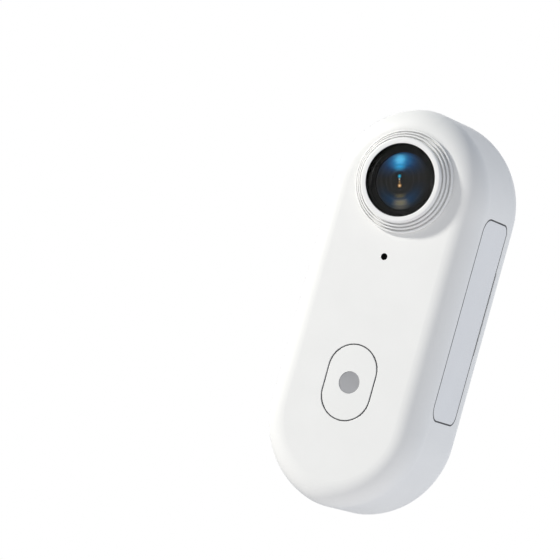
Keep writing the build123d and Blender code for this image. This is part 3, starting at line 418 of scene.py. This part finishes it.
@dataclass(frozen=True)
class BoardMask(Finish):
    """A circuit board's solder mask, with copper tracks that show through it."""

    roughness: Span = (0.28, 0.4)
    gloss_patch: float = 0.5 * MM
    tracks_per_metre: float = 260.0
    track_run: Place = (1.0, 0.02, 1.0)
    track_gap: float = 0.03
    track_tone: float = 1.35
    copper_tone: float = 2.2
    track_height: float = 0.012 * MM
    coat: float = 0.4
    coat_roughness: float = 0.15
    ior: float = 1.5

    def material(self) -> bpy.types.Material:
        """Build the solder mask."""
        sheet = MaterialSheet(self.name)
        shader = sheet.surface(
            IOR=self.ior, Coat_Weight=self.coat, Coat_Roughness=self.coat_roughness
        )
        tracks = sheet.add("ShaderNodeTexBrick", offset=0.5)
        tracks.inputs["Scale"].default_value = self.tracks_per_metre
        tracks.inputs["Mortar Size"].default_value = self.track_gap
        tracks.inputs["Color1"].default_value = (*self.colour, 1.0)
        tracks.inputs["Color2"].default_value = (*self.tone(self.track_tone), 1.0)
        tracks.inputs["Mortar"].default_value = (*self.tone(self.copper_tone), 1.0)
        sheet.join(sheet.stretched(self.track_run), tracks.inputs["Vector"])
        return sheet.cover(
            shader,
            Base_Color=tracks.outputs["Color"],
            Roughness=sheet.span(sheet.noise(self.gloss_patch), WIDE, self.roughness),
            Normal=sheet.bump(tracks.outputs["Fac"], self.track_height),
        )


@dataclass(frozen=True)
class ClearGlass(Finish):
    """Coated glass, nearly free of reflections."""

    ior: float = 1.12
    roughness: float = 0.0
    wave: float = 2 * MM
    wave_depth: float = 0.00005 * MM

    def material(self) -> bpy.types.Material:
        """Build the glass."""
        sheet = MaterialSheet(self.name)
        shader = sheet.surface(
            Base_Color=(*self.colour, 1.0),
            IOR=self.ior,
            Transmission_Weight=1.0,
            Roughness=self.roughness,
        )
        return sheet.cover(
            shader, Normal=sheet.bump(sheet.noise(self.wave, detail=1.0), self.wave_depth)
        )


@dataclass(frozen=True)
class PaintedReflection:
    """A soft patch of painted reflection, tinted like the lens coating.

    Its place is its distance from the lens axis and its heading from upright, in radians.
    """

    colour: Colour
    radius: float
    width: float
    heading: float
    spread: float
    cover: float


@dataclass(frozen=True)
class PaintedGlint:
    """A small round painted reflection, placed up or down the line through the lens axis."""

    colour: Colour
    height: float
    size: float


@dataclass(frozen=True)
class CoatedLensPaintedReflections(Finish):
    """A dark coated lens with painted reflections, and faint lighter rings painted as highlights on
    the barrel behind.
    """

    axis_x: float = -0.36 * MM
    axis_z: float = LENS_AXIS_Z
    tilt: float = -0.3
    painted_reflections: tuple[PaintedReflection, ...] = (
        PaintedReflection((0.008, 0.075, 0.22), 2.7 * MM, 2.0 * MM, 0.0, 1.5, 0.9),
        PaintedReflection((0.015, 0.26, 0.66), 2.65 * MM, 1.6 * MM, 0.0, 0.85, 0.95),
        PaintedReflection((0.12, 0.66, 1.0), 2.85 * MM, 1.0 * MM, 0.0, 0.42, 1.0),
        PaintedReflection((0.03, 0.45, 0.85), 1.85 * MM, 0.75 * MM, 0.0, 0.6, 0.8),
        PaintedReflection((0.01, 0.055, 0.13), 3.0 * MM, 1.3 * MM, math.pi, 1.6, 0.95),
        PaintedReflection((0.30, 0.26, 0.16), 3.1 * MM, 0.75 * MM, math.pi, 0.5, 0.9),
        PaintedReflection((0.2, 0.19, 0.14), 3.75 * MM, 0.4 * MM, math.pi, 0.5, 0.6),
        PaintedReflection((0.17, 0.14, 0.07), 2.2 * MM, 0.45 * MM, math.pi, 0.5, 0.8),
    )
    painted_glints: tuple[PaintedGlint, ...] = (
        PaintedGlint((0.12, 0.62, 0.95), 2.85 * MM, 0.85 * MM),
        PaintedGlint((0.03, 0.6, 0.95), 0.52 * MM, 0.34 * MM),
        PaintedGlint((0.95, 0.95, 0.85), 0.1 * MM, 0.15 * MM),
        PaintedGlint((0.85, 0.5, 0.16), -0.26 * MM, 0.15 * MM),
        PaintedGlint((0.95, 0.5, 0.14), -0.76 * MM, 0.36 * MM),
        PaintedGlint((1.0, 0.9, 0.65), -0.8 * MM, 0.16 * MM),
    )
    rings: tuple[float, ...] = (1.35 * MM, 2.0 * MM, 2.8 * MM, 3.55 * MM)
    ring_width: float = 0.14 * MM
    ring_tone: float = 4.5
    ring_cover: float = 0.6
    ripple_pitch: float = 0.5 * MM
    ripple_cover: float = 0.2
    roughness: float = 0.3
    shine: float = 0.1
    ior: float = 1.5

    def material(self) -> bpy.types.Material:
        """Build the coated lens."""
        sheet = MaterialSheet(self.name)
        shader = sheet.surface(
            IOR=self.ior, Roughness=self.roughness, Specular_IOR_Level=self.shine
        )
        turned = sheet.add("ShaderNodeMapping", vector_type="TEXTURE")
        turned.inputs["Location"].default_value = (self.axis_x, 0.0, self.axis_z)
        turned.inputs["Rotation"].default_value = (0.0, self.tilt, 0.0)
        sheet.join(sheet.coordinates(), turned.inputs["Vector"])
        parts = sheet.add("ShaderNodeSeparateXYZ")
        sheet.join(turned.outputs["Vector"], parts.inputs[0])
        side, rise = parts.outputs["X"], parts.outputs["Z"]
        radius = sheet.length(side, rise)
        off_upright = sheet.calculate("ABSOLUTE", sheet.calculate("ARCTAN2", side, rise))
        colour = self.colour
        # Lighter rings: painted highlights on the barrel's steps behind the glass.
        for ring in self.rings:
            line = sheet.near(radius, ring, self.ring_width)
            cover = sheet.calculate("MULTIPLY", line, self.ring_cover)
            colour = sheet.paint(colour, self.tone(self.ring_tone), cover)
        # Painted reflections: soft coloured patches, blue above the axis and amber below.
        for glow in self.painted_reflections:
            band = sheet.near(radius, glow.radius, glow.width)
            arc = sheet.near(off_upright, glow.heading, glow.spread)
            cover = sheet.calculate("MULTIPLY", sheet.calculate("MULTIPLY", band, glow.cover), arc)
            colour = sheet.paint(colour, glow.colour, cover)
        turns = sheet.calculate("MULTIPLY", radius, 2 * math.pi / self.ripple_pitch)
        ripple = sheet.span(sheet.calculate("SINE", turns), (-1.0, 1.0), (0.0, self.ripple_cover))
        colour = sheet.paint(colour, self.colour, ripple)
        # Small round painted reflections on the upright line through the axis.
        for spark in self.painted_glints:
            away = sheet.length(side, sheet.calculate("SUBTRACT", rise, spark.height))
            colour = sheet.paint(colour, spark.colour, sheet.near(away, 0.0, spark.size))
        return sheet.cover(shader, Base_Color=colour)


SHELL_WHITE = MouldedPlastic("shell_white", (0.875, 0.87, 0.85))
COVER_WHITE = MouldedPlastic("cover_white", (0.845, 0.845, 0.84), roughness=0.48)
GUARD_WHITE = MouldedPlastic(
    "guard_white", (0.87, 0.865, 0.85), roughness=0.36, grain_depth=0.0015 * MM
)
# The front element's finish, with painted reflections and painted highlight rings.
LENS_PAINTED_REFLECTIONS = CoatedLensPaintedReflections("lens_painted_reflections", (0.011, 0.0115, 0.0115))
# Black for the mic mesh, and for the sleeve that darkens the mic hole's wall as painted shade.
MESH_AND_SHADE_BLACK = SheetMetal("mesh_and_shade_black", (0.006, 0.006, 0.006), roughness=0.5, metallic=0.0)
WINDOW_GREY = PolishedPlastic("window_grey", (0.36, 0.36, 0.37))
MASK_BLACK = PolishedPlastic("mask_black", (0.006, 0.006, 0.0055), roughness=0.35, shine=0.1)
BARREL_BLACK = PolishedPlastic("barrel_black", (0.01, 0.01, 0.01), roughness=0.6, shine=0.1)
# Near-black for the strips laid in the seams as painted shade.
SEAM_PAINTED_SHADE = SoftRubber("seam_painted_shade", (0.035, 0.035, 0.037))
PLASTIC_BLACK = MouldedPlastic(
    "plastic_black", (0.022, 0.022, 0.023), roughness=0.5, grain_depth=0.004 * MM
)
RUBBER_BLACK = SoftRubber("rubber_black", (0.02, 0.02, 0.02))
RUBBER_GREY = SoftRubber("rubber_grey", (0.42, 0.42, 0.42))
FRAME_METAL = SheetMetal("frame_metal", (0.56, 0.57, 0.59), roughness=0.42)
TRAY_STEEL = SheetMetal("tray_steel", (0.5, 0.5, 0.51), roughness=0.32)
SCREW_STEEL = SheetMetal("screw_steel", (0.22, 0.22, 0.23), roughness=0.35)
TIN_PLATE = SheetMetal("tin_plate", (0.7, 0.7, 0.71), roughness=0.2)
MAGNET_NICKEL = SheetMetal("magnet_nickel", (0.66, 0.65, 0.62), roughness=0.15)
CONTACT_GOLD = SheetMetal("contact_gold", (0.83, 0.6, 0.22), roughness=0.22)
BOARD_GREEN = BoardMask("board_green", (0.01, 0.07, 0.035))
RIBBON_AMBER = PolishedPlastic("ribbon_amber", (0.45, 0.2, 0.03), roughness=0.3)
BATTERY_FOIL = SheetMetal(
    "battery_foil", (0.68, 0.68, 0.7), roughness=0.38, line_run=(1.0, 1.0, 0.3)
)
LAMP_CLEAR = PolishedPlastic("lamp_clear", (0.85, 0.78, 0.5), roughness=0.15)
COVER_GLASS = ClearGlass("cover_glass", (1.0, 1.0, 1.0))
INNER_GLASS = ClearGlass("inner_glass", (0.95, 0.97, 1.0), ior=1.3)
STEM_CLEAR = ClearGlass("stem_clear", (0.93, 0.95, 0.96), ior=1.4, roughness=0.1)


@dataclass
class Dressing:
    """The finishes of the CAD nodes that keep their own shape."""

    finishes: dict[Finish, list[str]] = field(
        default_factory=lambda: {
            SHELL_WHITE: ["front_shell", "rear_cover", "shutter_button"],
            COVER_WHITE: ["side_cover"],
            WINDOW_GREY: ["status_window"],
            BARREL_BLACK: ["lens_barrel", "lens_retainer", "lens_spacers"],
            PLASTIC_BLACK: [
                "lens_collar",
                "lens_holder",
                "image_sensor",
                "switch_plunger",
                "port_bezel",
                "usb_tongue",
                "memory_card",
                "image_processor",
                "memory_chip",
                "power_chips",
                "ribbon_connectors",
            ],
            RUBBER_BLACK: ["rear_gasket", "collar_seal", "collar_gasket", "mic_gasket"],
            RUBBER_GREY: ["button_gasket", "cover_seal", "cover_strap", "thermal_pad"],
            FRAME_METAL: ["inner_frame"],
            TRAY_STEEL: ["battery_tray"],
            SCREW_STEEL: ["frame_screws", "tray_screws"],
            TIN_PLATE: ["microphone", "tact_switch", "usb_socket", "card_socket", "shield_can"],
            MAGNET_NICKEL: ["rear_magnets"],
            CONTACT_GOLD: ["charging_contacts", "wifi_antenna", "antenna_contacts"],
            BOARD_GREEN: ["contact_board", "sensor_board", "mic_board", "main_board"],
            RIBBON_AMBER: ["contact_flex", "sensor_flex", "battery_lead"],
            BATTERY_FOIL: ["battery_cell"],
            LAMP_CLEAR: ["status_lamps"],
            COVER_GLASS: ["guard_glass"],
            INNER_GLASS: [
                "lens_second_element",
                "lens_third_element",
                "lens_fourth_element",
                "lens_rear_element",
                "ir_filter",
            ],
            STEM_CLEAR: ["button_stem"],
        }
    )

    def dress(self, nodes: dict[str, bpy.types.Object]) -> None:
        """Give each node its material.

        Args:
            nodes: the CAD nodes by name.
        """
        left = {name for name, node in nodes.items() if not node.hide_render}
        for finish, names in self.finishes.items():
            material = finish.material()
            for name in names:
                mesh = nodes[name].data
                mesh.materials.clear()
                mesh.materials.append(material)
                left.discard(name)
                LOG.info("dressed %s in %s", name, finish.name)
        if left:
            raise ValueError(f"no finish for {sorted(left)}")


def add_object(name: str, data: bpy.types.ID) -> bpy.types.Object:
    """Put new data in the scene as an object at the origin.

    Args:
        name: the object's name.
        data: its mesh, camera or lamp.

    Returns:
        The object.
    """
    thing = bpy.data.objects.new(name, data)
    bpy.context.scene.collection.objects.link(thing)
    return thing


@dataclass(frozen=True, kw_only=True)
class Piece:
    """A piece whose form the scene gives, and the CAD nodes that it stands for."""

    name: str
    finish: Finish
    body: Body
    slot: str
    stands_for: tuple[str, ...] = ()

    def form(self) -> bmesh.types.BMesh:
        """Build the piece's form."""
        raise NotImplementedError

    def shade(self, mesh: bpy.types.Mesh) -> None:
        """Shade the piece's faces, which stay flat unless a kind of piece says more."""

    def make(self) -> bpy.types.Object:
        """Make the piece and put it on its body.

        Returns:
            The piece.
        """
        form = self.form()
        mesh = bpy.data.meshes.new(self.name)
        form.to_mesh(mesh)
        form.free()
        self.shade(mesh)
        mesh.materials.append(self.finish.material())
        piece = add_object(self.name, mesh)
        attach(piece, self.body.value)
        if self.stands_for:
            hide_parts(*self.stands_for)
        LOG.info("made %s with %d faces", self.name, len(mesh.polygons))
        return piece


@dataclass(frozen=True)
class Corner:
    """A corner of a lathe section: its radius, its depth behind the front face, its rounding.

    All three are in millimetres.
    """

    radius: float
    depth: float
    rounding: float = 0.0


@dataclass(frozen=True, kw_only=True)
class Lathe(Piece):
    """A closed section turned about an axis that looks forwards, such as the lens axis."""

    corners: tuple[Corner, ...]
    body_depth: float = 17.5
    axis_z: float = LENS_AXIS_Z
    steps: int = 180
    round_steps: int = 5
    round_share: float = 0.49
    weld: float = 0.0005 * MM
    sharp_angle: float = math.radians(50.0)

    def section(self) -> list[Point]:
        """Return the section's points with its corners rounded, as radius and depth."""
        points: list[Point] = []
        count = len(self.corners)
        for index, corner in enumerate(self.corners):
            spot = Vector((corner.radius, corner.depth))
            if corner.rounding == 0.0:
                points.append(tuple(spot))
                continue
            ends = []
            for other in (self.corners[index - 1], self.corners[(index + 1) % count]):
                edge = Vector((other.radius, other.depth)) - spot
                reach = min(corner.rounding, self.round_share * edge.length)
                ends.append(spot + edge.normalized() * reach)
            for step in range(self.round_steps + 1):
                share = step / self.round_steps
                first = ends[0].lerp(spot, share)
                points.append(tuple(first.lerp(spot.lerp(ends[1], share), share)))
        return points

    def form(self) -> bmesh.types.BMesh:
        """Turn the section about the axis."""
        form = bmesh.new()
        ring = []
        for radius, depth in self.section():
            ring.append(form.verts.new((radius * MM, (depth - self.body_depth) * MM, self.axis_z)))
        edges = [form.edges.new((ring[index - 1], ring[index])) for index in range(len(ring))]
        turn = {"cent": (0.0, 0.0, self.axis_z), "axis": (0.0, 1.0, 0.0), "angle": 2 * math.pi}
        bmesh.ops.spin(form, geom=ring + edges, steps=self.steps, use_merge=True, **turn)
        bmesh.ops.remove_doubles(form, verts=form.verts, dist=self.weld)
        bmesh.ops.recalc_face_normals(form, faces=form.faces)
        return form

    def shade(self, mesh: bpy.types.Mesh) -> None:
        """Shade the turned faces smooth, up to their sharp edges."""
        mesh.shade_smooth()
        mesh.set_sharp_from_angle(angle=self.sharp_angle)


def dome(radius: float, apex: float, curve: float, count: int) -> tuple[Corner, ...]:
    """Return the corners of a spherical lens face, from the axis outwards.

    Args:
        radius: the face's outer radius, in millimetres.
        apex: the depth of its middle.
        curve: the sphere's radius.
        count: how many steps the face has.

    Returns:
        The corners.
    """
    radii = [radius * step / count for step in range(count + 1)]
    return tuple(Corner(part, apex + curve - math.sqrt(curve**2 - part**2)) for part in radii)


GUARD_FORM = Lathe(
    name="lens_guard_form",
    corners=(
        Corner(6.05, 0.0),
        Corner(6.98, 0.0),
        Corner(6.98, -0.12),
        Corner(7.09, -0.14),
        Corner(7.09, -0.5, 0.1),
        Corner(6.87, -0.55, 0.05),
        Corner(6.84, -0.15),
        Corner(6.63, -0.15),
        Corner(6.66, -0.92, 0.1),
        Corner(6.47, -0.97, 0.05),
        Corner(6.45, -0.6),
        Corner(6.26, -0.6),
        Corner(6.29, -1.26, 0.1),
        Corner(6.07, -1.31, 0.05),
        Corner(6.05, -0.94),
        Corner(5.86, -0.94),
        Corner(5.88, -1.56, 0.12),
        Corner(5.68, -1.74, 0.14),
        Corner(5.03, -1.74, 0.07),
        Corner(5.03, -1.03),
        Corner(4.58, -1.03),
        Corner(4.58, -0.83),
        Corner(6.05, -0.83),
    ),
    finish=GUARD_WHITE,
    body=Body.LENS_GUARD,
    slot="guard_white",
    stands_for=("lens_guard_ring",),
    steps=320,
)
MASK_FORM = Lathe(
    name="glass_mask_form",
    corners=(
        Corner(4.5, -1.08),
        Corner(5.0, -1.08),
        Corner(5.0, -1.69),
        Corner(5.02, -1.69),
        Corner(5.02, -1.04),
        Corner(4.5, -1.04),
    ),
    finish=MASK_BLACK,
    body=Body.LENS_GUARD,
    slot="mask_black",
    stands_for=("glass_mask",),
)
FRONT_DOME = Lathe(
    name="front_element_form",
    corners=(
        *dome(radius=4.5, apex=-1.0, curve=18.6, count=10),
        Corner(4.5, -0.2),
        Corner(3.9, -0.1),
        Corner(3.9, 0.2),
        Corner(0.0, 0.2),
    ),
    finish=LENS_PAINTED_REFLECTIONS,
    body=Body.HOUSING,
    slot="lens_glass",
    stands_for=("lens_front_element",),
)
# The mic's black mesh, and a dark sleeve lining the hole's wall: the sleeve is painted shade that
# darkens the hole.
MIC_MESH_AND_SHADE = Lathe(
    name="mic_mesh_and_shade_sleeve",
    corners=(
        Corner(0.0, 1.3),
        Corner(0.43, 1.3),
        Corner(0.43, 0.13),
        Corner(0.472, 0.1),
        Corner(0.472, 1.3),
        Corner(1.2, 1.3),
        Corner(1.2, 1.45),
        Corner(0.0, 1.45),
    ),
    finish=MESH_AND_SHADE_BLACK,
    body=Body.HOUSING,
    slot="metal_black",
    stands_for=("mic_mesh",),
    axis_z=6.85 * MM,
    steps=64,
)


class Facing(Enum):
    """The way a flat strip faces, and where its drawing's two axes run."""

    FRONT = "front"
    SIDE = "side"

    def point(self, spot: Point, level: float) -> Place:
        """Return a drawn point's place in metres.

        Args:
            spot: the drawn point, in millimetres.
            level: how far the drawing lies along the way it faces, in millimetres.

        Returns:
            The place.
        """
        if self is Facing.FRONT:
            return (spot[0] * MM, level * MM, spot[1] * MM)
        return (level * MM, spot[0] * MM, spot[1] * MM)

    def axis(self) -> int:
        """Return the number of the axis that it faces along."""
        return 1 if self is Facing.FRONT else 0


class Outline:
    """A closed drawn line that can be let out or drawn in."""

    def points(self, grow: float) -> list[Point]:
        """Return the line's points in order, let out by some millimetres."""
        raise NotImplementedError


@dataclass(frozen=True)
class RoundedBox(Outline):
    """A rectangle with rounded corners, one radius at its low side and one at its high side."""

    low: Point
    high: Point
    roundings: Span
    steps: int = 10

    def points(self, grow: float) -> list[Point]:
        """Return the rectangle's points in order, let out by some millimetres."""
        points = []
        for side, rise, start in ((1, -1, -90.0), (1, 1, 0.0), (-1, 1, 90.0), (-1, -1, 180.0)):
            radius = self.roundings[(side + 1) // 2]
            across = self.high[0] - radius if side > 0 else self.low[0] + radius
            above = self.high[1] - radius if rise > 0 else self.low[1] + radius
            reach = radius + grow
            for step in range(self.steps + 1):
                angle = math.radians(start + 90.0 * step / self.steps)
                points.append((across + reach * math.cos(angle), above + reach * math.sin(angle)))
        return points


@dataclass(frozen=True)
class Capsule(Outline):
    """The body's outline from the front: straight sides, wide shoulder arcs, tighter tip arcs."""

    half_width: float = 11.5
    straight: float = 15.466
    shoulder: float = 12.4
    tip: float = 8.85
    steps: int = 24

    def points(self, grow: float) -> list[Point]:
        """Return the outline's points in order, let out by some millimetres."""
        lean = math.acos((self.shoulder - self.half_width) / (self.shoulder - self.tip))
        rise = (self.shoulder - self.tip) * math.sin(lean)
        arcs = (
            (self.half_width - self.shoulder, self.straight, self.shoulder, 0.0, lean, 0),
            (0.0, self.straight + rise, self.tip, lean, math.pi / 2, 1),
        )
        quarter = []
        for across, above, radius, start, end, first in arcs:
            reach = radius + grow
            for step in range(first, self.steps + 1):
                angle = start + (end - start) * step / self.steps
                quarter.append((across + reach * math.cos(angle), above + reach * math.sin(angle)))
        upper = quarter + [(-x, z) for x, z in reversed(quarter[:-1])]
        return upper + [(-x, -z) for x, z in upper]


@dataclass(frozen=True, kw_only=True)
class Strip(Piece):
    """A narrow strip between two runs of one outline, such as the dark strip laid in a seam as
    painted shade.

    Levels and growths are in millimetres, and outward is the sign of the way it faces.
    """

    facing: Facing
    outline: Outline
    outer_grow: float
    inner_grow: float
    outer_level: float
    inner_level: float
    outward: float = 1.0

    def form(self) -> bmesh.types.BMesh:
        """Bridge the outline's outer and inner runs."""
        form = bmesh.new()
        edges = []
        runs = ((self.outer_grow, self.outer_level), (self.inner_grow, self.inner_level))
        for grow, level in runs:
            spots = self.outline.points(grow)
            ring = [form.verts.new(self.facing.point(spot, level)) for spot in spots]
            edges += [form.edges.new((ring[index - 1], ring[index])) for index in range(len(ring))]
        bmesh.ops.bridge_loops(form, edges=edges)
        form.normal_update()
        axis = self.facing.axis()
        if sum(face.normal[axis] for face in form.faces) * self.outward < 0.0:
            bmesh.ops.reverse_faces(form, faces=form.faces)
        return form


# Dark strips in the seams of the shutter button, the side cover and the rear cover: painted shade
# that darkens each seam line.
BUTTON_SEAM = Strip(
    name="button_seam_shade_strip",
    facing=Facing.FRONT,
    outline=RoundedBox((-3.515, -15.98), (3.515, -5.58), (3.515, 3.515), steps=30),
    outer_grow=0.13,
    inner_grow=-0.04,
    outer_level=-17.472,
    inner_level=-17.472,
    outward=-1.0,
    finish=SEAM_PAINTED_SHADE,
    body=Body.HOUSING,
    slot="rubber_grey",
)
COVER_SEAM = Strip(
    name="cover_seam_shade_strip",
    facing=Facing.SIDE,
    outline=RoundedBox((-13.94, -12.646), (-5.69, 15.446), (1.9, 1.3)),
    outer_grow=0.17,
    inner_grow=-0.05,
    outer_level=11.475,
    inner_level=11.475,
    finish=SEAM_PAINTED_SHADE,
    body=Body.HOUSING,
    slot="rubber_grey",
)
REAR_SEAM = Strip(
    name="rear_seam_shade_strip",
    facing=Facing.FRONT,
    outline=Capsule(),
    outer_grow=-0.69,
    inner_grow=-0.745,
    outer_level=-2.445,
    inner_level=-2.355,
    finish=SEAM_PAINTED_SHADE,
    body=Body.HOUSING,
    slot="rubber_black",
)
PIECES = (GUARD_FORM, MASK_FORM, FRONT_DOME, MIC_MESH_AND_SHADE, BUTTON_SEAM, COVER_SEAM, REAR_SEAM)


def heading(azimuth: float, elevation: float) -> Vector:
    """Return the way from the object to a place round it.

    Args:
        azimuth: how far round from the front it is, in degrees.
        elevation: how far up it is, in degrees.

    Returns:
        The way, of length one.
    """
    turn, rise = math.radians(azimuth), math.radians(elevation)
    level = math.cos(rise)
    return Vector((math.sin(turn) * level, -math.cos(turn) * level, math.sin(rise)))


@dataclass
class PhotoCamera:
    """The camera that looks at the object from the photograph's angle."""

    azimuth: float = 24.8935
    elevation: float = -1.6865
    roll: float = 15.5683
    distance: float = 630.58 * MM
    focal_pixels: float = 4619.4
    image_pixels: float = 560.0
    target_pixel: Point = (392.124, 312.886)
    target: Place = (0.0, -9.751 * MM, 0.022 * MM)
    sensor: float = 36.0
    clip_start: float = 10 * MM
    clip_end: float = 20.0

    def make(self) -> bpy.types.Object:
        """Make the camera and give it to the scene.

        Returns:
            The camera.
        """
        back = heading(self.azimuth, self.elevation)
        level_right = (-back).cross(Vector((0.0, 0.0, 1.0))).normalized()
        level_up = level_right.cross(-back)
        roll = math.radians(self.roll)
        right = math.cos(roll) * level_right + math.sin(roll) * level_up
        up = -math.sin(roll) * level_right + math.cos(roll) * level_up
        middle = self.image_pixels / 2
        across = (self.target_pixel[0] - middle) / self.focal_pixels * self.distance
        above = (middle - self.target_pixel[1]) / self.focal_pixels * self.distance
        place = Vector(self.target) - right * across - up * above + back * self.distance
        data = bpy.data.cameras.new("photo_camera")
        data.sensor_width = self.sensor
        data.lens = self.focal_pixels / self.image_pixels * self.sensor
        data.clip_start = self.clip_start
        data.clip_end = self.clip_end
        camera = add_object("photo_camera", data)
        axes = Matrix((right, up, back)).transposed().to_4x4()
        camera.matrix_world = Matrix.Translation(place) @ axes
        bpy.context.scene.camera = camera
        LOG.info("camera at %s", tuple(round(part, 4) for part in place))
        return camera


@dataclass(frozen=True)
class SoftLamp:
    """A square soft lamp that looks at the object."""

    name: str
    azimuth: float
    elevation: float
    distance: float
    size: float
    power: float
    colour: Colour

    def make(self) -> bpy.types.Object:
        """Make the lamp.

        Returns:
            The lamp.
        """
        away = heading(self.azimuth, self.elevation)
        data = bpy.data.lights.new(self.name, "AREA")
        data.shape = "SQUARE"
        data.size = self.size
        data.energy = self.power
        data.color = self.colour
        lamp = add_object(self.name, data)
        lamp.location = away * self.distance
        lamp.rotation_euler = away.to_track_quat("Z", "Y").to_euler()
        LOG.info("lamp %s", self.name)
        return lamp


@dataclass(frozen=True)
class SkyPatch:
    """A soft bright patch of the sky, with a heading and a colour."""

    toward: Place
    colour: Colour


KEY_LAMP = SoftLamp(
    name="key_lamp",
    azimuth=-60.0,
    elevation=22.5,
    distance=0.9,
    size=0.08,
    power=7.5,
    colour=(1.0, 0.985, 0.935),
)


@dataclass
class Studio:
    """A white room: a soft lamp, a pale floor well below the object, and a sky of soft patches."""

    lamps: tuple[SoftLamp, ...] = (KEY_LAMP,)
    patches: tuple[SkyPatch, ...] = (
        SkyPatch((1.0, -0.25, -0.3), (0.76, 0.76, 0.78)),
        SkyPatch((-0.2, -0.7, -1.0), (0.92, 0.87, 0.82)),
        SkyPatch((0.1, 1.0, 0.1), (0.88, 0.9, 0.96)),
    )
    patch_falloff: float = 2.0
    sky_base: Colour = (0.115, 0.145, 0.19)
    sky_seen: Colour = (1.0, 1.0, 1.0)
    floor_drop: float = 700 * MM
    floor_width: float = 6.0
    floor_colour: Colour = (0.85, 0.85, 0.86)
    floor_roughness: float = 0.9
    floor_glow: float = 0.85

    def make(self) -> None:
        """Make the lamps, the sky and the floor."""
        for lamp in self.lamps:
            lamp.make()
        self.make_sky()
        self.make_floor()

    def sky_light(self, sheet: NodeSheet) -> Socket:
        """Add the patches to the sky's base colour.

        Args:
            sheet: the world's node tree.

        Returns:
            The colour of the light from each heading.
        """
        heading_seen = sheet.add("ShaderNodeTexCoord").outputs["Generated"]
        total = None
        for patch in self.patches:
            toward = sheet.add("ShaderNodeVectorMath", operation="DOT_PRODUCT")
            toward.inputs[1].default_value = Vector(patch.toward).normalized()
            sheet.join(heading_seen, toward.inputs[0])
            facing = sheet.calculate("MAXIMUM", toward.outputs["Value"], 0.0)
            soft = sheet.calculate("POWER", facing, self.patch_falloff)
            tinted = sheet.add("ShaderNodeVectorMath", operation="MULTIPLY_ADD")
            tinted.inputs[1].default_value = patch.colour
            tinted.inputs[2].default_value = self.sky_base
            sheet.join(soft, tinted.inputs[0])
            if total is not None:
                sheet.join(total, tinted.inputs[2])
            total = tinted.outputs["Vector"]
        return total

    def make_sky(self) -> None:
        """Make the sky: white where it is seen, and soft patches of colour where it lights."""
        world = bpy.data.worlds.new("studio_sky")
        world.use_nodes = True
        sheet = NodeSheet(world.node_tree, "ShaderNodeOutputWorld")
        seen = sheet.add("ShaderNodeBackground")
        seen.inputs["Color"].default_value = (*self.sky_seen, 1.0)
        lit = sheet.add("ShaderNodeBackground")
        sheet.join(self.sky_light(sheet), lit.inputs["Color"])
        path = sheet.add("ShaderNodeLightPath")
        rays = ("Is Camera Ray", "Is Glossy Ray", "Is Transmission Ray")
        camera, gloss, glass = (path.outputs[ray] for ray in rays)
        any_view = sheet.calculate("MAXIMUM", sheet.calculate("MAXIMUM", camera, gloss), glass)
        mix = sheet.add("ShaderNodeMixShader")
        sheet.join(any_view, mix.inputs["Fac"])
        sheet.join(lit.outputs[0], mix.inputs[1])
        sheet.join(seen.outputs[0], mix.inputs[2])
        sheet.join(mix.outputs[0], sheet.output.inputs["Surface"])
        bpy.context.scene.world = world
        LOG.info("sky with %d patches", len(self.patches))

    def floor_white(self) -> bpy.types.Material:
        """Build the floor's material, which glows only where the camera sees it."""
        sheet = MaterialSheet("floor_white")
        shader = sheet.surface(
            Base_Color=(*self.floor_colour, 1.0), Roughness=self.floor_roughness
        )
        path = sheet.add("ShaderNodeLightPath")
        strength = sheet.calculate("MULTIPLY", path.outputs["Is Camera Ray"], self.floor_glow)
        glow = sheet.add("ShaderNodeEmission")
        sheet.join(strength, glow.inputs["Strength"])
        both = sheet.add("ShaderNodeAddShader")
        sheet.join(shader.outputs["BSDF"], both.inputs[0])
        sheet.join(glow.outputs["Emission"], both.inputs[1])
        sheet.join(both.outputs["Shader"], sheet.output.inputs["Surface"])
        return sheet.material

    def make_floor(self) -> None:
        """Make the floor, white where it is seen and still dark where the object shades it."""
        mesh = bpy.data.meshes.new("floor")
        form = bmesh.new()
        bmesh.ops.create_grid(form, x_segments=1, y_segments=1, size=self.floor_width / 2)
        bmesh.ops.translate(form, verts=form.verts, vec=(0.0, 0.0, -self.floor_drop))
        form.to_mesh(mesh)
        form.free()
        mesh.materials.append(self.floor_white())
        floor = add_object("floor", mesh)
        floor.visible_diffuse = False
        floor.visible_shadow = False
        LOG.info("floor")


def main() -> None:
    """Load the frame, dress it and set it in the studio."""
    logging.basicConfig(level=logging.INFO, format="%(name)s: %(message)s")
    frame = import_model()
    scene = bpy.context.scene
    scene.view_settings.view_transform = "Standard"
    for piece in PIECES:
        piece.make()
    Dressing().dress(frame["nodes"])
    PhotoCamera().make()
    Studio().make()


if __name__ == "__main__":
    main()
